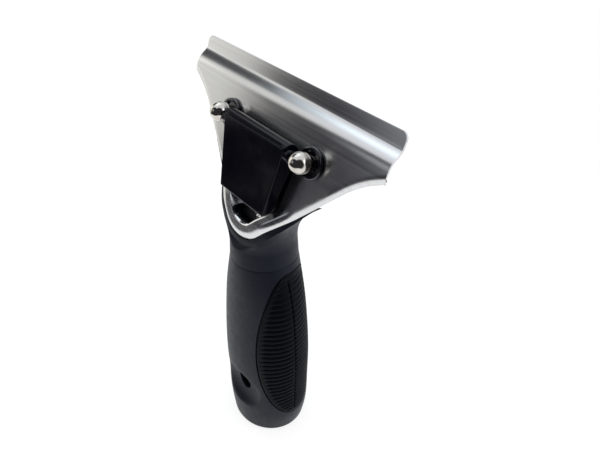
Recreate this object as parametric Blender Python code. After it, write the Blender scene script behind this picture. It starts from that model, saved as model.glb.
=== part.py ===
"""Window squeegee handle with a quick-release jaw, as an assembly of separate pieces.

Frame: metres, +Z up along the handle, origin on the handle's axis in the plane of its base,
-Y towards the front, where the release lever is, and X along the jaws.

The head leans back from the handle. Its pieces are drawn in the head's own directions, which
the empty head_frame carries: u across the jaws, v up the front plate, and n out of its front
face, with n zero on that face.
"""
import math

import bmesh
import bpy
from mathutils import Matrix, Vector

# Clearances that several pieces share
GAP = 0.0003
OVERRUN = 0.004

# Place of the head on the handle
HEAD_TILT = math.radians(20.1)
HEAD_SETBACK = 0.0098
HEAD_HEIGHT = 0.110

# Front jaw plate, one pressed sheet
SHEET_THICKNESS = 0.0009
JAW_WIDTH = 0.108
NOSE_V = 0.002
NOSE_RADIUS = 0.0106
FLARE_RUN = 0.0162
FLARE_V = 0.037
FLARE_ARC_SHARE = 0.78
FLARE_ANGLE = math.radians(27.5)
FLARE_START_U = JAW_WIDTH / 2 - FLARE_RUN
NOSE_CENTRE_V = NOSE_V + NOSE_RADIUS
SIDE_REACH = math.hypot(FLARE_START_U, FLARE_V - NOSE_CENTRE_V)
SIDE_SLOPE = math.atan2(FLARE_V - NOSE_CENTRE_V, FLARE_START_U)
SIDE_ANGLE = SIDE_SLOPE + math.asin(NOSE_RADIUS / SIDE_REACH)
FLARE_RADIUS = FLARE_ARC_SHARE * FLARE_RUN / (math.sin(SIDE_ANGLE) - math.sin(FLARE_ANGLE))
STEP_V = 0.0515
STEP_HEIGHT = 0.0048
STEP_DEPTH = 0.003
LIP_HEIGHT = 0.0049
LIP_CORNER_RADIUS = 0.0025
SIDE_SHARES = (0.08, 0.18, 0.30, 0.46, 0.70)
BORDER_BEND_RADIUS = 0.0037
BORDER_BEND_ANGLE = math.radians(52)
NOSE_RISE = 0.003
NOSE_RISE_V = 0.008
NOSE_RISE_LENGTH = 0.012
SCOOP_MARGIN = 0.0022
SCOOP_SLOPE = 0.003
NECK_SLOT_V = 0.0082
NECK_SLOT_WIDTH = 0.0126
NECK_SLOT_HEIGHT = 0.0058

# Rear clamp plate, which slides on the studs
POCKET_DEPTH = 0.0076
LIP_OPENING = 0.0032
CLAMP_INSET = 0.0095
CLAMP_BOTTOM_V = 0.031
CLAMP_STEP_V = 0.0492
CLAMP_STEP_HEIGHT = 0.004
CLAMP_LIP_HEIGHT = 0.004
CLAMP_HEM_HEIGHT = 0.0014
CLAMP_HEM_DEPTH = 0.0012

# Studs, their bushes, springs and washers
STUD_INSET = 0.03
STUD_U = JAW_WIDTH / 2 - STUD_INSET
STUD_V = 0.0389
STUD_NECK_RADIUS = 0.0021
STUD_TAIL_RADIUS = 0.0017
STUD_TAIL_HEAD_RADIUS = 0.0034
STUD_TAIL_HEAD_HEIGHT = 0.001
STUD_HEAD_RADIUS = 0.0039
STUD_HEAD_BASE_N = 0.0034
STUD_HEAD_SHOULDER = 0.0007
STUD_HEAD_LENGTH = 0.0042
STUD_DOME_HEIGHT = 0.0016
STUD_GROOVE_DEPTH = 0.0002
STUD_GROOVE_WIDTH = 0.0003
BUSH_FLANGE_RADIUS = 0.0055
BUSH_FLANGE_HEIGHT = 0.0012
BUSH_SHANK_RADIUS = 0.0044
BUSH_BARB_RADIUS = 0.005
BUSH_BARB_HEIGHT = 0.0012
SPRING_COIL_RADIUS = 0.0031
SPRING_WIRE_RADIUS = 0.00045
SPRING_TURNS = 3.5
SPRING_POINTS_PER_TURN = 10
WASHER_RADIUS = 0.0042
WASHER_THICKNESS = 0.0008

# Axle and release lever
AXLE_N = 0.0054
AXLE_RADIUS = 0.0013
AXLE_END_COVER = 0.0012
CAM_FALL = 0.0016
CAM_SWEEP = math.radians(100)
LEVER_SIDE_GAP = 0.0009
LEVER_TOP_WIDTH = 2 * (STUD_U - BUSH_FLANGE_RADIUS - LEVER_SIDE_GAP)
LEVER_TAIL_INSET = 0.0041
LEVER_TAIL_WIDTH = LEVER_TOP_WIDTH - 2 * LEVER_TAIL_INSET
LEVER_TAIL_V = 0.0136
LEVER_TAIL_N = 0.0053
LEVER_FACE_TOP_V = 0.0406
LEVER_FACE_TOP_N = 0.0081
LEVER_TAIL_BEVEL = 0.0016
LEVER_SKIRT_N = 0.0006
LEVER_TAIL_SKIRT_N = 0.0015
LEVER_WALL = 0.0018
LEVER_FACE_HOLLOW = 0.0007
LEVER_EDGE_ROUND = 0.0005
LEVER_RIB_DEPTH = 0.0004
LEVER_ACROSS_SHARES = (-1, -0.94, -0.65, -0.33, 0, 0.33, 0.65, 0.94, 1)
LEVER_FACE_SHARES = (0.15, 0.35, 0.65, 0.85)
LEVER_RIB_SHARES = (0, 1, 0, 1, 0, 0)
LEVER_HOLLOW_END_SHARE = 0.35
BARREL_RADIUS = 0.0023
BARREL_END_GAP = 0.0003
CAM_FOOT = 0.0015

# Rivets that hold the front plate on the core's tongue
RIVET_U = 0.0055
RIVET_V = 0.0255
RIVET_SHANK_RADIUS = 0.0016
RIVET_HEAD_RADIUS = 0.0031
RIVET_HEAD_HEIGHT = 0.001

# Handle core: a tapered tube with a blind pole socket, and a flat tongue into the head
SOCKET_DEPTH = 0.058
SOCKET_MOUTH_RADIUS = 0.010
SOCKET_FLOOR_RADIUS = 0.009
CORE_RADIUS = 0.012
CORE_SHOULDER_DROP = 0.044
CORE_NECK_DROP = 0.022
CORE_TOP_DROP = 0.002
CORE_NECK_RADIUS = 0.009
CORE_SHOULDER_Z = HEAD_HEIGHT - CORE_SHOULDER_DROP
CORE_NECK_Z = HEAD_HEIGHT - CORE_NECK_DROP
CORE_TOP_Z = HEAD_HEIGHT - CORE_TOP_DROP
TONGUE_TOP_WIDTH = 0.019
TONGUE_TOP_V = 0.032
TONGUE_NECK_WIDTH = 0.0136
TONGUE_SHOULDER_HEIGHT = 0.0035
TONGUE_THICKNESS = 0.0044
TONGUE_ROOT_V = -0.0022
TONGUE_ROOT_FALL = 0.0018
TONGUE_ROOT_TOP_V = 0.0005
TONGUE_FACE_V = 0.0035
TONGUE_SHOULDER_V = 0.0125
BUTTON_HOLE_Z = 0.0257
BUTTON_HOLE_RADIUS = 0.0042

# Grip sleeve: elliptic sections along the handle, from the base to the collar's seam
SLEEVE_TOP_DROP = 0.0135
SLEEVE_TOP_Z = HEAD_HEIGHT - SLEEVE_TOP_DROP
GRIP_HALF_WIDTH = 0.0212
GRIP_HALF_DEPTH = 0.017
BASE_ROUND = 0.002
GRIP_HEIGHT_SHARES = (0.0, 0.124, 0.290, 0.466, 0.642, 0.829, 1.036)
GRIP_WIDTH_SHARES = (0.825, 0.945, 0.975, 1.0, 0.972, 0.878, 0.598)
GRIP_DEPTH_SHARES = (0.945, 0.990, 1.0, 0.992, 0.942, 0.871, 0.803)

# Thumb recess round the button hole
RECESS_Z = 0.0266
RECESS_HALF_WIDTH = 0.030
RECESS_HALF_HEIGHT = 0.0114
RECESS_HALF_DEPTH = 0.007
RECESS_STAND_OFF = 0.003
RECESS_TILT = math.radians(8)

# Ribbed side panels, let into the sleeve
PANEL_FOOT_Z = 0.0139
PANEL_TOP_MARGIN = 0.0032
PANEL_CENTRE_Z = (PANEL_FOOT_Z + SLEEVE_TOP_Z - PANEL_TOP_MARGIN) / 2
PANEL_HALF_HEIGHT = PANEL_CENTRE_Z - PANEL_FOOT_Z
PANEL_FRONT_ANGLE = math.radians(57)
PANEL_BACK_ANGLE = math.radians(68)
PANEL_BACK_POWER = 4
PANEL_DEPTH = 0.002
PANEL_RIB_PITCH = 0.0024
PANEL_RIB_DEPTH = 0.0007
PANEL_BORDER = 0.0026
PANEL_PARTING_DEPTH = 0.0004

# Neck collar: the rubber piece that wraps the lower edge of the front plate
COLLAR_NECK_DROP = 0.006
COLLAR_NECK_Z = HEAD_HEIGHT - COLLAR_NECK_DROP
COLLAR_NECK_HALF_WIDTH = 0.0126
COLLAR_NECK_HALF_DEPTH = 0.0134
COLLAR_LIP_WIDTH = 0.0032
COLLAR_LIP_BEVEL = 0.0014
COLLAR_LIP_OVERLAP = 0.0015
COLLAR_TIP_V = 0.0277
COLLAR_TIP_TURN = math.radians(96)
COLLAR_TIP_WIDTH_SHARE = 0.05
COLLAR_NARROWING_V = 0.016
COLLAR_EDGE_POWER = 2.2
COLLAR_BACK_POWER = 1.5
COLLAR_NECK_SHARES = (0.35, 0.7)
COLLAR_FLARE_SHARE = 0.62
COLLAR_FLOOR_SHARE = 0.55
COLLAR_BACK_Y = 0.0122
COLLAR_BACK_RISE = 0.0025
COLLAR_BACK_Z = HEAD_HEIGHT + COLLAR_BACK_RISE
COLLAR_WALL = 0.0024

# Facet counts
ROUND_SEGMENTS = 24
SMALL_SEGMENTS = 16
GRIP_SEGMENTS = 40
FACE_COLUMNS = 12
CLAMP_COLUMNS = 6
BEND_STEPS = 3
STEP_ROWS = 5
PANEL_COLUMNS = 8
PANEL_BACK_COLUMNS = 6


def head_matrix():
    """The place and lean of the head's own directions in the handle's frame."""
    spot = Matrix.Translation((0, -HEAD_SETBACK, HEAD_HEIGHT))
    return spot @ Matrix.Rotation(math.pi / 2 - HEAD_TILT, 4, "X")


def head_point(u, v, n):
    """A point of the head, given in the handle's frame."""
    return head_matrix() @ Vector((u, v, n))


def smooth(share):
    """An S-shaped step from 0 to 1, flat at both ends."""
    share = min(1, max(0, share))
    return share * share * (3 - 2 * share)


def blend(start, end, share):
    """The value that lies a share of the way from start to end."""
    return start + (end - start) * share


def spline(places, values, place):
    """A smooth curve through the given values, read at one place."""
    last = len(places) - 2
    i = max([0] + [k for k in range(last + 1) if places[k] <= place])
    i = min(i, last)
    before, after = max(i - 1, 0), min(i + 2, last + 1)
    span = places[i + 1] - places[i]
    t = (place - places[i]) / span
    slope_start = (values[i + 1] - values[before]) / (places[i + 1] - places[before]) * span
    slope_end = (values[after] - values[i]) / (places[after] - places[i]) * span
    return (
        (2 * t**3 - 3 * t**2 + 1) * values[i]
        + (t**3 - 2 * t**2 + t) * slope_start
        + (3 * t**2 - 2 * t**3) * values[i + 1]
        + (t**3 - t**2) * slope_end
    )


# Materials

def material(name, color, roughness, metallic=0.0):
    """A plain surface of one colour."""
    made = bpy.data.materials.new(name)
    made.use_nodes = True
    shader = made.node_tree.nodes["Principled BSDF"]
    shader.inputs["Base Color"].default_value = (*color, 1)
    shader.inputs["Roughness"].default_value = roughness
    shader.inputs["Metallic"].default_value = metallic
    return made


def steel(name):
    return material(name, (0.62, 0.61, 0.60), 0.28, 1.0)


def nickel(name):
    return material(name, (0.86, 0.84, 0.79), 0.08, 1.0)


def black_plastic(name):
    return material(name, (0.012, 0.012, 0.018), 0.22)


def rubber(name):
    return material(name, (0.028, 0.029, 0.037), 0.55)


# Building blocks

def add_object(name, mesh, surface, parent=None):
    """One named sub-part from a mesh, shaded smooth with its corners kept sharp."""
    made = bpy.data.objects.new(name, mesh)
    bpy.context.scene.collection.objects.link(made)
    if surface:
        mesh.materials.append(surface)
    mesh.shade_smooth()
    mesh.set_sharp_from_angle(angle=math.radians(35))
    made.parent = parent
    return made


def mesh_from(name, points, faces):
    """A mesh with its faces turned outwards."""
    made = bpy.data.meshes.new(name)
    shape = bmesh.new()
    corners = [shape.verts.new(point) for point in points]
    for face in faces:
        shape.faces.new([corners[i] for i in face])
    bmesh.ops.recalc_face_normals(shape, faces=shape.faces)
    shape.to_mesh(made)
    shape.free()
    return made


def stack_rings(name, rings, closed=False):
    """Bridges rings of equal length one to the next; a ring of one point closes an end."""
    points, starts, faces = [], [], []
    for ring in rings:
        starts.append(len(points))
        points.extend(ring)
    pairs = list(range(len(rings) - 1))
    if closed:
        pairs.append(len(rings) - 1)
    for k in pairs:
        low, high = k, (k + 1) % len(rings)
        count = max(len(rings[low]), len(rings[high]))
        for i in range(count):
            j = (i + 1) % count
            quad = []
            for ring, place in ((low, i), (low, j), (high, j), (high, i)):
                corner = starts[ring] + place % len(rings[ring])
                if corner not in quad:
                    quad.append(corner)
            faces.append(quad)
    if not closed:
        for end in (0, len(rings) - 1):
            if len(rings[end]) > 2:
                faces.append([starts[end] + i for i in range(len(rings[end]))])
    return mesh_from(name, points, faces)


def turned(name, profile, segments, closed=False):
    """A turned piece about its own Z, from (radius, height) points."""
    rings = []
    for radius, height in profile:
        if radius == 0:
            rings.append([(0, 0, height)])
            continue
        turns = (math.tau * i / segments for i in range(segments))
        rings.append([(radius * math.cos(a), radius * math.sin(a), height) for a in turns])
    return stack_rings(name, rings, closed)


def prism(name, outline, low, high):
    """A flat outline in u and v, extruded along n."""
    rings = [[(u, v, n) for u, v in outline] for n in (low, high)]
    return stack_rings(name, rings)


def bar_profile(name, outline, half_width):
    """An outline in v and n, extruded along u to both sides; the half width may vary with v."""
    rings = [[(side * half_width(v), v, n) for v, n in outline] for side in (-1, 1)]
    return stack_rings(name, rings)


def ellipse(half_width, half_height, centre_v=0.0, segments=SMALL_SEGMENTS):
    """An upright ellipse in u and v."""
    turns = [math.tau * i / segments for i in range(segments)]
    return [(half_width * math.cos(a), centre_v + half_height * math.sin(a)) for a in turns]


def cutter(name, mesh, parent=None):
    """A guide shape that only cuts or joins, and is never part of the model."""
    made = bpy.data.objects.new(name, mesh)
    bpy.context.scene.collection.objects.link(made)
    made.parent = parent
    made.hide_render = True
    made.display_type = "WIRE"
    return made


def combine(target, tool, operation="DIFFERENCE"):
    """Cuts the target with a guide shape, or joins the shape to it."""
    step = target.modifiers.new(tool.name, "BOOLEAN")
    step.operation = operation
    step.solver = "EXACT"
    step.object = tool


def round_hole(name, radius, length, spot, parent, turn=None):
    """A round cutter along n, or along another direction when it is turned."""
    half = length / 2
    profile = ((0, -half), (radius, -half), (radius, half), (0, half))
    made = cutter(name, turned(name, profile, SMALL_SEGMENTS), parent)
    made.location = spot
    if turn:
        made.rotation_euler = turn
    return made


# Outline of the front plate

def plate_edge():
    """Right half of the flat face's edge from the nose up, as (u, v, heading) points."""
    arc_steps = 6
    edge = []
    for i in range(arc_steps + 1):
        heading = SIDE_ANGLE * i / arc_steps
        u = NOSE_RADIUS * math.sin(heading)
        edge.append((u, NOSE_CENTRE_V - NOSE_RADIUS * math.cos(heading), heading))
    start_u, start_v, _ = edge[-1]
    for share in SIDE_SHARES:
        spot = (blend(start_u, FLARE_START_U, share), blend(start_v, FLARE_V, share))
        edge.append((*spot, SIDE_ANGLE))
    flare_steps = 4
    for i in range(flare_steps + 1):
        heading = blend(SIDE_ANGLE, FLARE_ANGLE, i / flare_steps)
        u = FLARE_START_U + FLARE_RADIUS * (math.sin(SIDE_ANGLE) - math.sin(heading))
        v = FLARE_V + FLARE_RADIUS * (math.cos(heading) - math.cos(SIDE_ANGLE))
        edge.append((u, v, heading))
    last_u, last_v, _ = edge[-1]
    run = JAW_WIDTH / 2 - last_u
    run_steps = 2
    for i in range(1, run_steps + 1):
        u = last_u + run * i / run_steps
        edge.append((u, last_v + (u - last_u) * math.tan(FLARE_ANGLE), FLARE_ANGLE))
    return edge


def moved_out(point, distance):
    """An edge point moved square to the edge, away from the plate."""
    u, v, heading = point
    return u + distance * math.sin(heading), v - distance * math.cos(heading)


def border_reach(turn):
    """How far the border has gone outwards, and back, when it has bent through an angle."""
    return BORDER_BEND_RADIUS * math.sin(turn), BORDER_BEND_RADIUS * (1 - math.cos(turn))


def trimmed(u, v):
    """A point of the border cut off square at the jaw's ends."""
    excess = max(0, abs(u) - JAW_WIDTH / 2)
    return math.copysign(abs(u) - excess, u), v - excess * math.tan(FLARE_ANGLE)


def half_width_at(v):
    """Half width of the front face at a height."""
    edge = plate_edge()
    for low, high in zip(edge, edge[1:]):
        if low[1] <= v <= high[1]:
            return blend(low[0], high[0], (v - low[1]) / (high[1] - low[1]))
    return JAW_WIDTH / 2


def edge_distance(u, v):
    """How far a point of the face lies inside the sloping edges."""
    across, down = abs(u), NOSE_CENTRE_V - v
    if math.atan2(across, down) < SIDE_ANGLE:
        return NOSE_RADIUS - math.hypot(across, down)
    return NOSE_RADIUS - across * math.sin(SIDE_ANGLE) - down * math.cos(SIDE_ANGLE)


def face_height(u, v):
    """Height of the front face: set back at the lip, brought forward round the nose."""
    lip = STEP_DEPTH * smooth((v - STEP_V) / STEP_HEIGHT)
    rise = NOSE_RISE * smooth((NOSE_RISE_V + NOSE_RISE_LENGTH - v) / NOSE_RISE_LENGTH)
    inside = smooth((edge_distance(u, v) - SCOOP_MARGIN) / SCOOP_SLOPE)
    return rise * (1 - inside) - lip


def clamp_height(u, v):
    """Height of the clamp plate's inner face, which steps towards the front lip."""
    floor = -SHEET_THICKNESS - POCKET_DEPTH
    lip = -STEP_DEPTH - SHEET_THICKNESS - LIP_OPENING
    hem = CLAMP_HEM_DEPTH * smooth((CLAMP_BOTTOM_V - v) / CLAMP_HEM_HEIGHT)
    return blend(floor, lip, smooth((v - CLAMP_STEP_V) / CLAMP_STEP_HEIGHT)) + hem


def top_rows(half_width, step_v, step_height, lip_height):
    """Rows of a plate's step and lip, with its top corners rounded."""
    rows = [(half_width, step_v + step_height * i / STEP_ROWS) for i in range(STEP_ROWS + 1)]
    top = step_v + step_height + lip_height
    corner_steps = 3
    for i in range(corner_steps + 1):
        turn = math.pi / 2 * i / corner_steps
        inset = LIP_CORNER_RADIUS * (1 - math.cos(turn))
        drop = LIP_CORNER_RADIUS * (1 - math.sin(turn))
        rows.append((half_width - inset, top - drop))
    return rows


def sheet_mesh(name, rows, columns, height, border, overhang=0.0):
    """A pressed sheet's front surface: rows across it, and a border bent back along its edge."""
    points, faces, starts = [], [], []
    for half, v in rows:
        starts.append(len(points))
        for k in range(columns + 1 if half else 1):
            u = half * (2 * k / columns - 1)
            points.append((u, v, height(u, v)))
    for low, high in zip(range(len(rows)), range(1, len(rows))):
        for k in range(columns):
            low_a = starts[low] + (k if rows[low][0] else 0)
            low_b = starts[low] + (k + 1 if rows[low][0] else 0)
            corners = [low_a, low_b, starts[high] + k + 1, starts[high] + k]
            faces.append(list(dict.fromkeys(corners)))
    rim = [starts[i] for i in reversed(range(1, len(border)))] + [starts[0]]
    rim += [starts[i] + columns for i in range(1, len(border))]
    if border:
        whole = [(-u, v, -heading) for u, v, heading in reversed(border[1:])] + border
        inner = rim
        reaches = [border_reach(BORDER_BEND_ANGLE * k / BEND_STEPS) for k in range(1, BEND_STEPS + 1)]
        if overhang:
            reaches.append((reaches[-1][0] + overhang, reaches[-1][1]))
        for out, down in reaches:
            outer = []
            for point, corner in zip(whole, rim):
                outer.append(len(points))
                points.append((*trimmed(*moved_out(point, out)), points[corner][2] - down))
            for i in range(len(whole) - 1):
                faces.append([inner[i + 1], inner[i], outer[i], outer[i + 1]])
            inner = outer
    made = bpy.data.meshes.new(name)
    made.from_pydata(points, [], faces)
    return made


def thicken(sheet):
    """Gives a sheet its thickness, behind the surface that was drawn."""
    step = sheet.modifiers.new("thickness", "SOLIDIFY")
    step.thickness = SHEET_THICKNESS
    step.offset = -1
    step.use_even_offset = True


# Pieces of the head

def front_jaw_plate(head):
    edge = plate_edge()
    rows = [(u, v) for u, v, _ in edge]
    rows += top_rows(JAW_WIDTH / 2, STEP_V, STEP_HEIGHT, LIP_HEIGHT)
    mesh = sheet_mesh("front_jaw_plate", rows, FACE_COLUMNS, face_height, edge)
    plate = add_object("front_jaw_plate", mesh, steel("brushed_steel"), head)
    thicken(plate)
    length = 2 * (NOSE_RISE + OVERRUN)
    for side in (-1, 1):
        spot = (side * STUD_U, STUD_V, 0)
        hole = round_hole(f"bush_hole_{side}", BUSH_SHANK_RADIUS + GAP, length, spot, head)
        combine(plate, hole)
        spot = (side * RIVET_U, RIVET_V, 0)
        hole = round_hole(f"plate_rivet_hole_{side}", RIVET_SHANK_RADIUS + GAP, length, spot, head)
        combine(plate, hole)
    slot = ellipse(NECK_SLOT_WIDTH / 2, NECK_SLOT_HEIGHT / 2, NECK_SLOT_V)
    combine(plate, cutter("neck_slot", prism("neck_slot", slot, -length, length), head))


def clamp_plate(head):
    side_steps = 5
    rows = [(half_width_at(CLAMP_BOTTOM_V) - CLAMP_INSET, CLAMP_BOTTOM_V - CLAMP_HEM_HEIGHT)]
    for i in range(side_steps + 1):
        v = blend(CLAMP_BOTTOM_V, CLAMP_STEP_V, i / side_steps)
        rows.append((half_width_at(v) - CLAMP_INSET, v))
    half = JAW_WIDTH / 2 - CLAMP_INSET
    rows = [row for row in rows if row[1] < CLAMP_STEP_V]
    rows += top_rows(half, CLAMP_STEP_V, CLAMP_STEP_HEIGHT, CLAMP_LIP_HEIGHT)
    mesh = sheet_mesh("clamp_plate", rows, CLAMP_COLUMNS, clamp_height, [])
    plate = add_object("clamp_plate", mesh, steel("clamp_steel"), head)
    thicken(plate)
    floor = clamp_height(0, STUD_V)
    for side in (-1, 1):
        spot = (side * STUD_U, STUD_V, floor)
        radius = STUD_TAIL_RADIUS + GAP
        combine(plate, round_hole(f"stud_hole_{side}", radius, OVERRUN, spot, head))


def stud_mesh():
    """A stud: riveted tail, thin shank through the clamp plate, neck, then the domed head."""
    floor = clamp_height(0, STUD_V)
    washer_back = floor - SHEET_THICKNESS - 2 * GAP - WASHER_THICKNESS
    tail = washer_back - GAP
    head_rim = STUD_HEAD_BASE_N + STUD_HEAD_LENGTH
    profile = [
        (0, tail - STUD_TAIL_HEAD_HEIGHT),
        (STUD_TAIL_RADIUS, tail - STUD_TAIL_HEAD_HEIGHT),
        (STUD_TAIL_HEAD_RADIUS, tail - STUD_TAIL_HEAD_HEIGHT / 3),
        (STUD_TAIL_HEAD_RADIUS, tail),
        (STUD_TAIL_RADIUS, tail),
        (STUD_TAIL_RADIUS, floor + GAP),
        (STUD_NECK_RADIUS, floor + GAP),
        (STUD_NECK_RADIUS, STUD_HEAD_BASE_N),
        (STUD_HEAD_RADIUS - STUD_HEAD_SHOULDER / 2, STUD_HEAD_BASE_N),
        (STUD_HEAD_RADIUS, STUD_HEAD_BASE_N + STUD_HEAD_SHOULDER),
        (STUD_HEAD_RADIUS, head_rim - STUD_GROOVE_WIDTH),
        (STUD_HEAD_RADIUS - STUD_GROOVE_DEPTH, head_rim - STUD_GROOVE_WIDTH / 2),
        (STUD_HEAD_RADIUS, head_rim),
    ]
    dome_steps = 4
    for i in range(1, dome_steps + 1):
        turn = math.pi / 2 * i / dome_steps
        radius = STUD_HEAD_RADIUS * math.cos(turn) if i < dome_steps else 0
        profile.append((radius, head_rim + STUD_DOME_HEIGHT * math.sin(turn)))
    return turned("stud", profile, ROUND_SEGMENTS)


def axle_half_length():
    return STUD_U + STUD_HEAD_RADIUS - AXLE_END_COVER - GAP


def stud(head, side, name):
    """A stud with the blind cross hole in which the axle's end sits."""
    made = add_object(name, stud_mesh(), nickel(f"{name}_nickel"), head)
    made.location = (side * STUD_U, STUD_V, 0)
    reach = axle_half_length() + GAP
    start = STUD_U - STUD_HEAD_RADIUS - OVERRUN
    spot = (side * (reach + start) / 2, STUD_V, AXLE_N)
    turn = (0, math.pi / 2, 0)
    radius = AXLE_RADIUS + GAP
    combine(made, round_hole(f"{name}_cross_hole", radius, reach - start, spot, head, turn))


def stud_bush(head, side, name):
    """A snap-in plastic bush that lines the front plate's hole."""
    bore = STUD_NECK_RADIUS + GAP
    back = -SHEET_THICKNESS - GAP
    edge = BUSH_FLANGE_HEIGHT / 4
    top = GAP + BUSH_FLANGE_HEIGHT
    profile = [
        (bore, back - BUSH_BARB_HEIGHT),
        (BUSH_SHANK_RADIUS, back - BUSH_BARB_HEIGHT),
        (BUSH_BARB_RADIUS, back - BUSH_BARB_HEIGHT / 3),
        (BUSH_BARB_RADIUS, back),
        (BUSH_SHANK_RADIUS, back),
        (BUSH_SHANK_RADIUS, GAP),
        (BUSH_FLANGE_RADIUS, GAP),
        (BUSH_FLANGE_RADIUS, top - edge),
        (BUSH_FLANGE_RADIUS - edge, top),
        (bore, top),
    ]
    mesh = turned(name, profile, ROUND_SEGMENTS, closed=True)
    made = add_object(name, mesh, black_plastic(f"{name}_plastic"), head)
    made.location = (side * STUD_U, STUD_V, 0)


def spring_path():
    """Points along the wire's centre, with a slow start and end at the two seats."""
    low = clamp_height(0, STUD_V) + GAP + SPRING_WIRE_RADIUS
    high = -SHEET_THICKNESS - 2 * GAP - BUSH_BARB_HEIGHT - SPRING_WIRE_RADIUS
    count = round(SPRING_TURNS * SPRING_POINTS_PER_TURN)
    path = []
    for i in range(count + 1):
        turn = math.tau * SPRING_TURNS * i / count
        across = SPRING_COIL_RADIUS * math.cos(turn), SPRING_COIL_RADIUS * math.sin(turn)
        path.append(Vector((*across, blend(low, high, i / count))))
    return path


def least_gap(path):
    """The narrowest gap between one turn's wire and another's."""
    apart = SPRING_POINTS_PER_TURN // 2
    gaps = [
        (path[i] - path[j]).length - 2 * SPRING_WIRE_RADIUS
        for i in range(len(path))
        for j in range(i + apart, len(path))
    ]
    return min(gaps)


def clamp_spring(head, side, name):
    path = spring_path()
    print(f"{name}: least gap between turns {least_gap(path):.5f} m")
    wire = bpy.data.curves.new(name, "CURVE")
    wire.dimensions = "3D"
    wire.bevel_depth = SPRING_WIRE_RADIUS
    wire.bevel_resolution = 1
    wire.use_fill_caps = True
    line = wire.splines.new("POLY")
    line.points.add(len(path) - 1)
    for point, spot in zip(line.points, path):
        point.co = (*spot, 1)
    wire.materials.append(steel(f"{name}_steel"))
    made = bpy.data.objects.new(name, wire)
    bpy.context.scene.collection.objects.link(made)
    made.parent = head
    made.location = (side * STUD_U, STUD_V, 0)


def washer(head, name, bore, place, top):
    """A flat washer whose upper face lies at the given height."""
    profile = [
        (bore, top - WASHER_THICKNESS),
        (WASHER_RADIUS, top - WASHER_THICKNESS),
        (WASHER_RADIUS, top),
        (bore, top),
    ]
    mesh = turned(name, profile, SMALL_SEGMENTS, closed=True)
    made = add_object(name, mesh, steel(f"{name}_steel"), head)
    made.location = place


def stud_washer(head, side, name):
    top = clamp_height(0, STUD_V) - SHEET_THICKNESS - GAP
    washer(head, name, STUD_TAIL_RADIUS + GAP, (side * STUD_U, STUD_V, 0), top)


def lever_axle(axis):
    half = axle_half_length()
    chamfer = AXLE_RADIUS / 4
    profile = [(0, -half), (AXLE_RADIUS - chamfer, -half), (AXLE_RADIUS, chamfer - half)]
    profile += [(radius, -height) for radius, height in reversed(profile)]
    mesh = turned("lever_axle", profile, SMALL_SEGMENTS)
    mesh.transform(Matrix.Rotation(math.pi / 2, 4, "Y"))
    add_object("lever_axle", mesh, steel("axle_steel"), axis)


# Release lever, drawn from its axle

def cam_radius(turn):
    """Reach of the cam at an angle from straight down, towards the jaws' lips."""
    full = AXLE_N - GAP
    return full - CAM_FALL * turn / CAM_SWEEP


def lever_half_width(v):
    """Half width of the lever, which narrows from its barrel to its tail."""
    share = (v + STUD_V - LEVER_TAIL_V) / (LEVER_FACE_TOP_V - LEVER_TAIL_V)
    return blend(LEVER_TAIL_WIDTH, LEVER_TOP_WIDTH, min(1, max(0, share))) / 2


def lever_face(v):
    """Height of the lever's flat front at a height along the plate."""
    share = (v + STUD_V - LEVER_TAIL_V) / (LEVER_FACE_TOP_V - LEVER_TAIL_V)
    return blend(LEVER_TAIL_N, LEVER_FACE_TOP_N, share) - AXLE_N


def lever_section(across_share):
    """The lever's outline in v and n, from the tail up its front and round the barrel."""
    hollow = LEVER_FACE_HOLLOW * (1 - across_share**2)
    edge_round = LEVER_EDGE_ROUND if abs(across_share) == 1 else 0
    tail, top = LEVER_TAIL_V - STUD_V, LEVER_FACE_TOP_V - STUD_V
    skirt = LEVER_SKIRT_N - AXLE_N
    tail_skirt = LEVER_TAIL_SKIRT_N - AXLE_N
    outline = [(tail + LEVER_TAIL_BEVEL, tail_skirt), (tail, lever_face(tail) - edge_round)]
    for share in LEVER_FACE_SHARES:
        v = blend(tail, top, share)
        depth = hollow * smooth(min(share, 1 - share) / LEVER_HOLLOW_END_SHARE)
        outline.append((v, lever_face(v) - depth - edge_round))
    front = math.hypot(top, lever_face(top))
    start = math.atan2(top, -lever_face(top))
    for i, rib_share in enumerate(LEVER_RIB_SHARES):
        share = i / len(LEVER_RIB_SHARES)
        turn = blend(start, CAM_SWEEP, share)
        reach = blend(front, cam_radius(CAM_SWEEP), share)
        reach -= LEVER_RIB_DEPTH * rib_share + edge_round
        outline.append((reach * math.sin(turn), -reach * math.cos(turn)))
    cam_steps = 8
    for i in range(cam_steps + 1):
        turn = CAM_SWEEP * (1 - i / cam_steps)
        reach = cam_radius(turn)
        outline.append((reach * math.sin(turn), -reach * math.cos(turn)))
    outline.append((-CAM_FOOT, -cam_radius(0)))
    outline.append((-CAM_FOOT - LEVER_WALL, skirt))
    return outline


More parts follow.
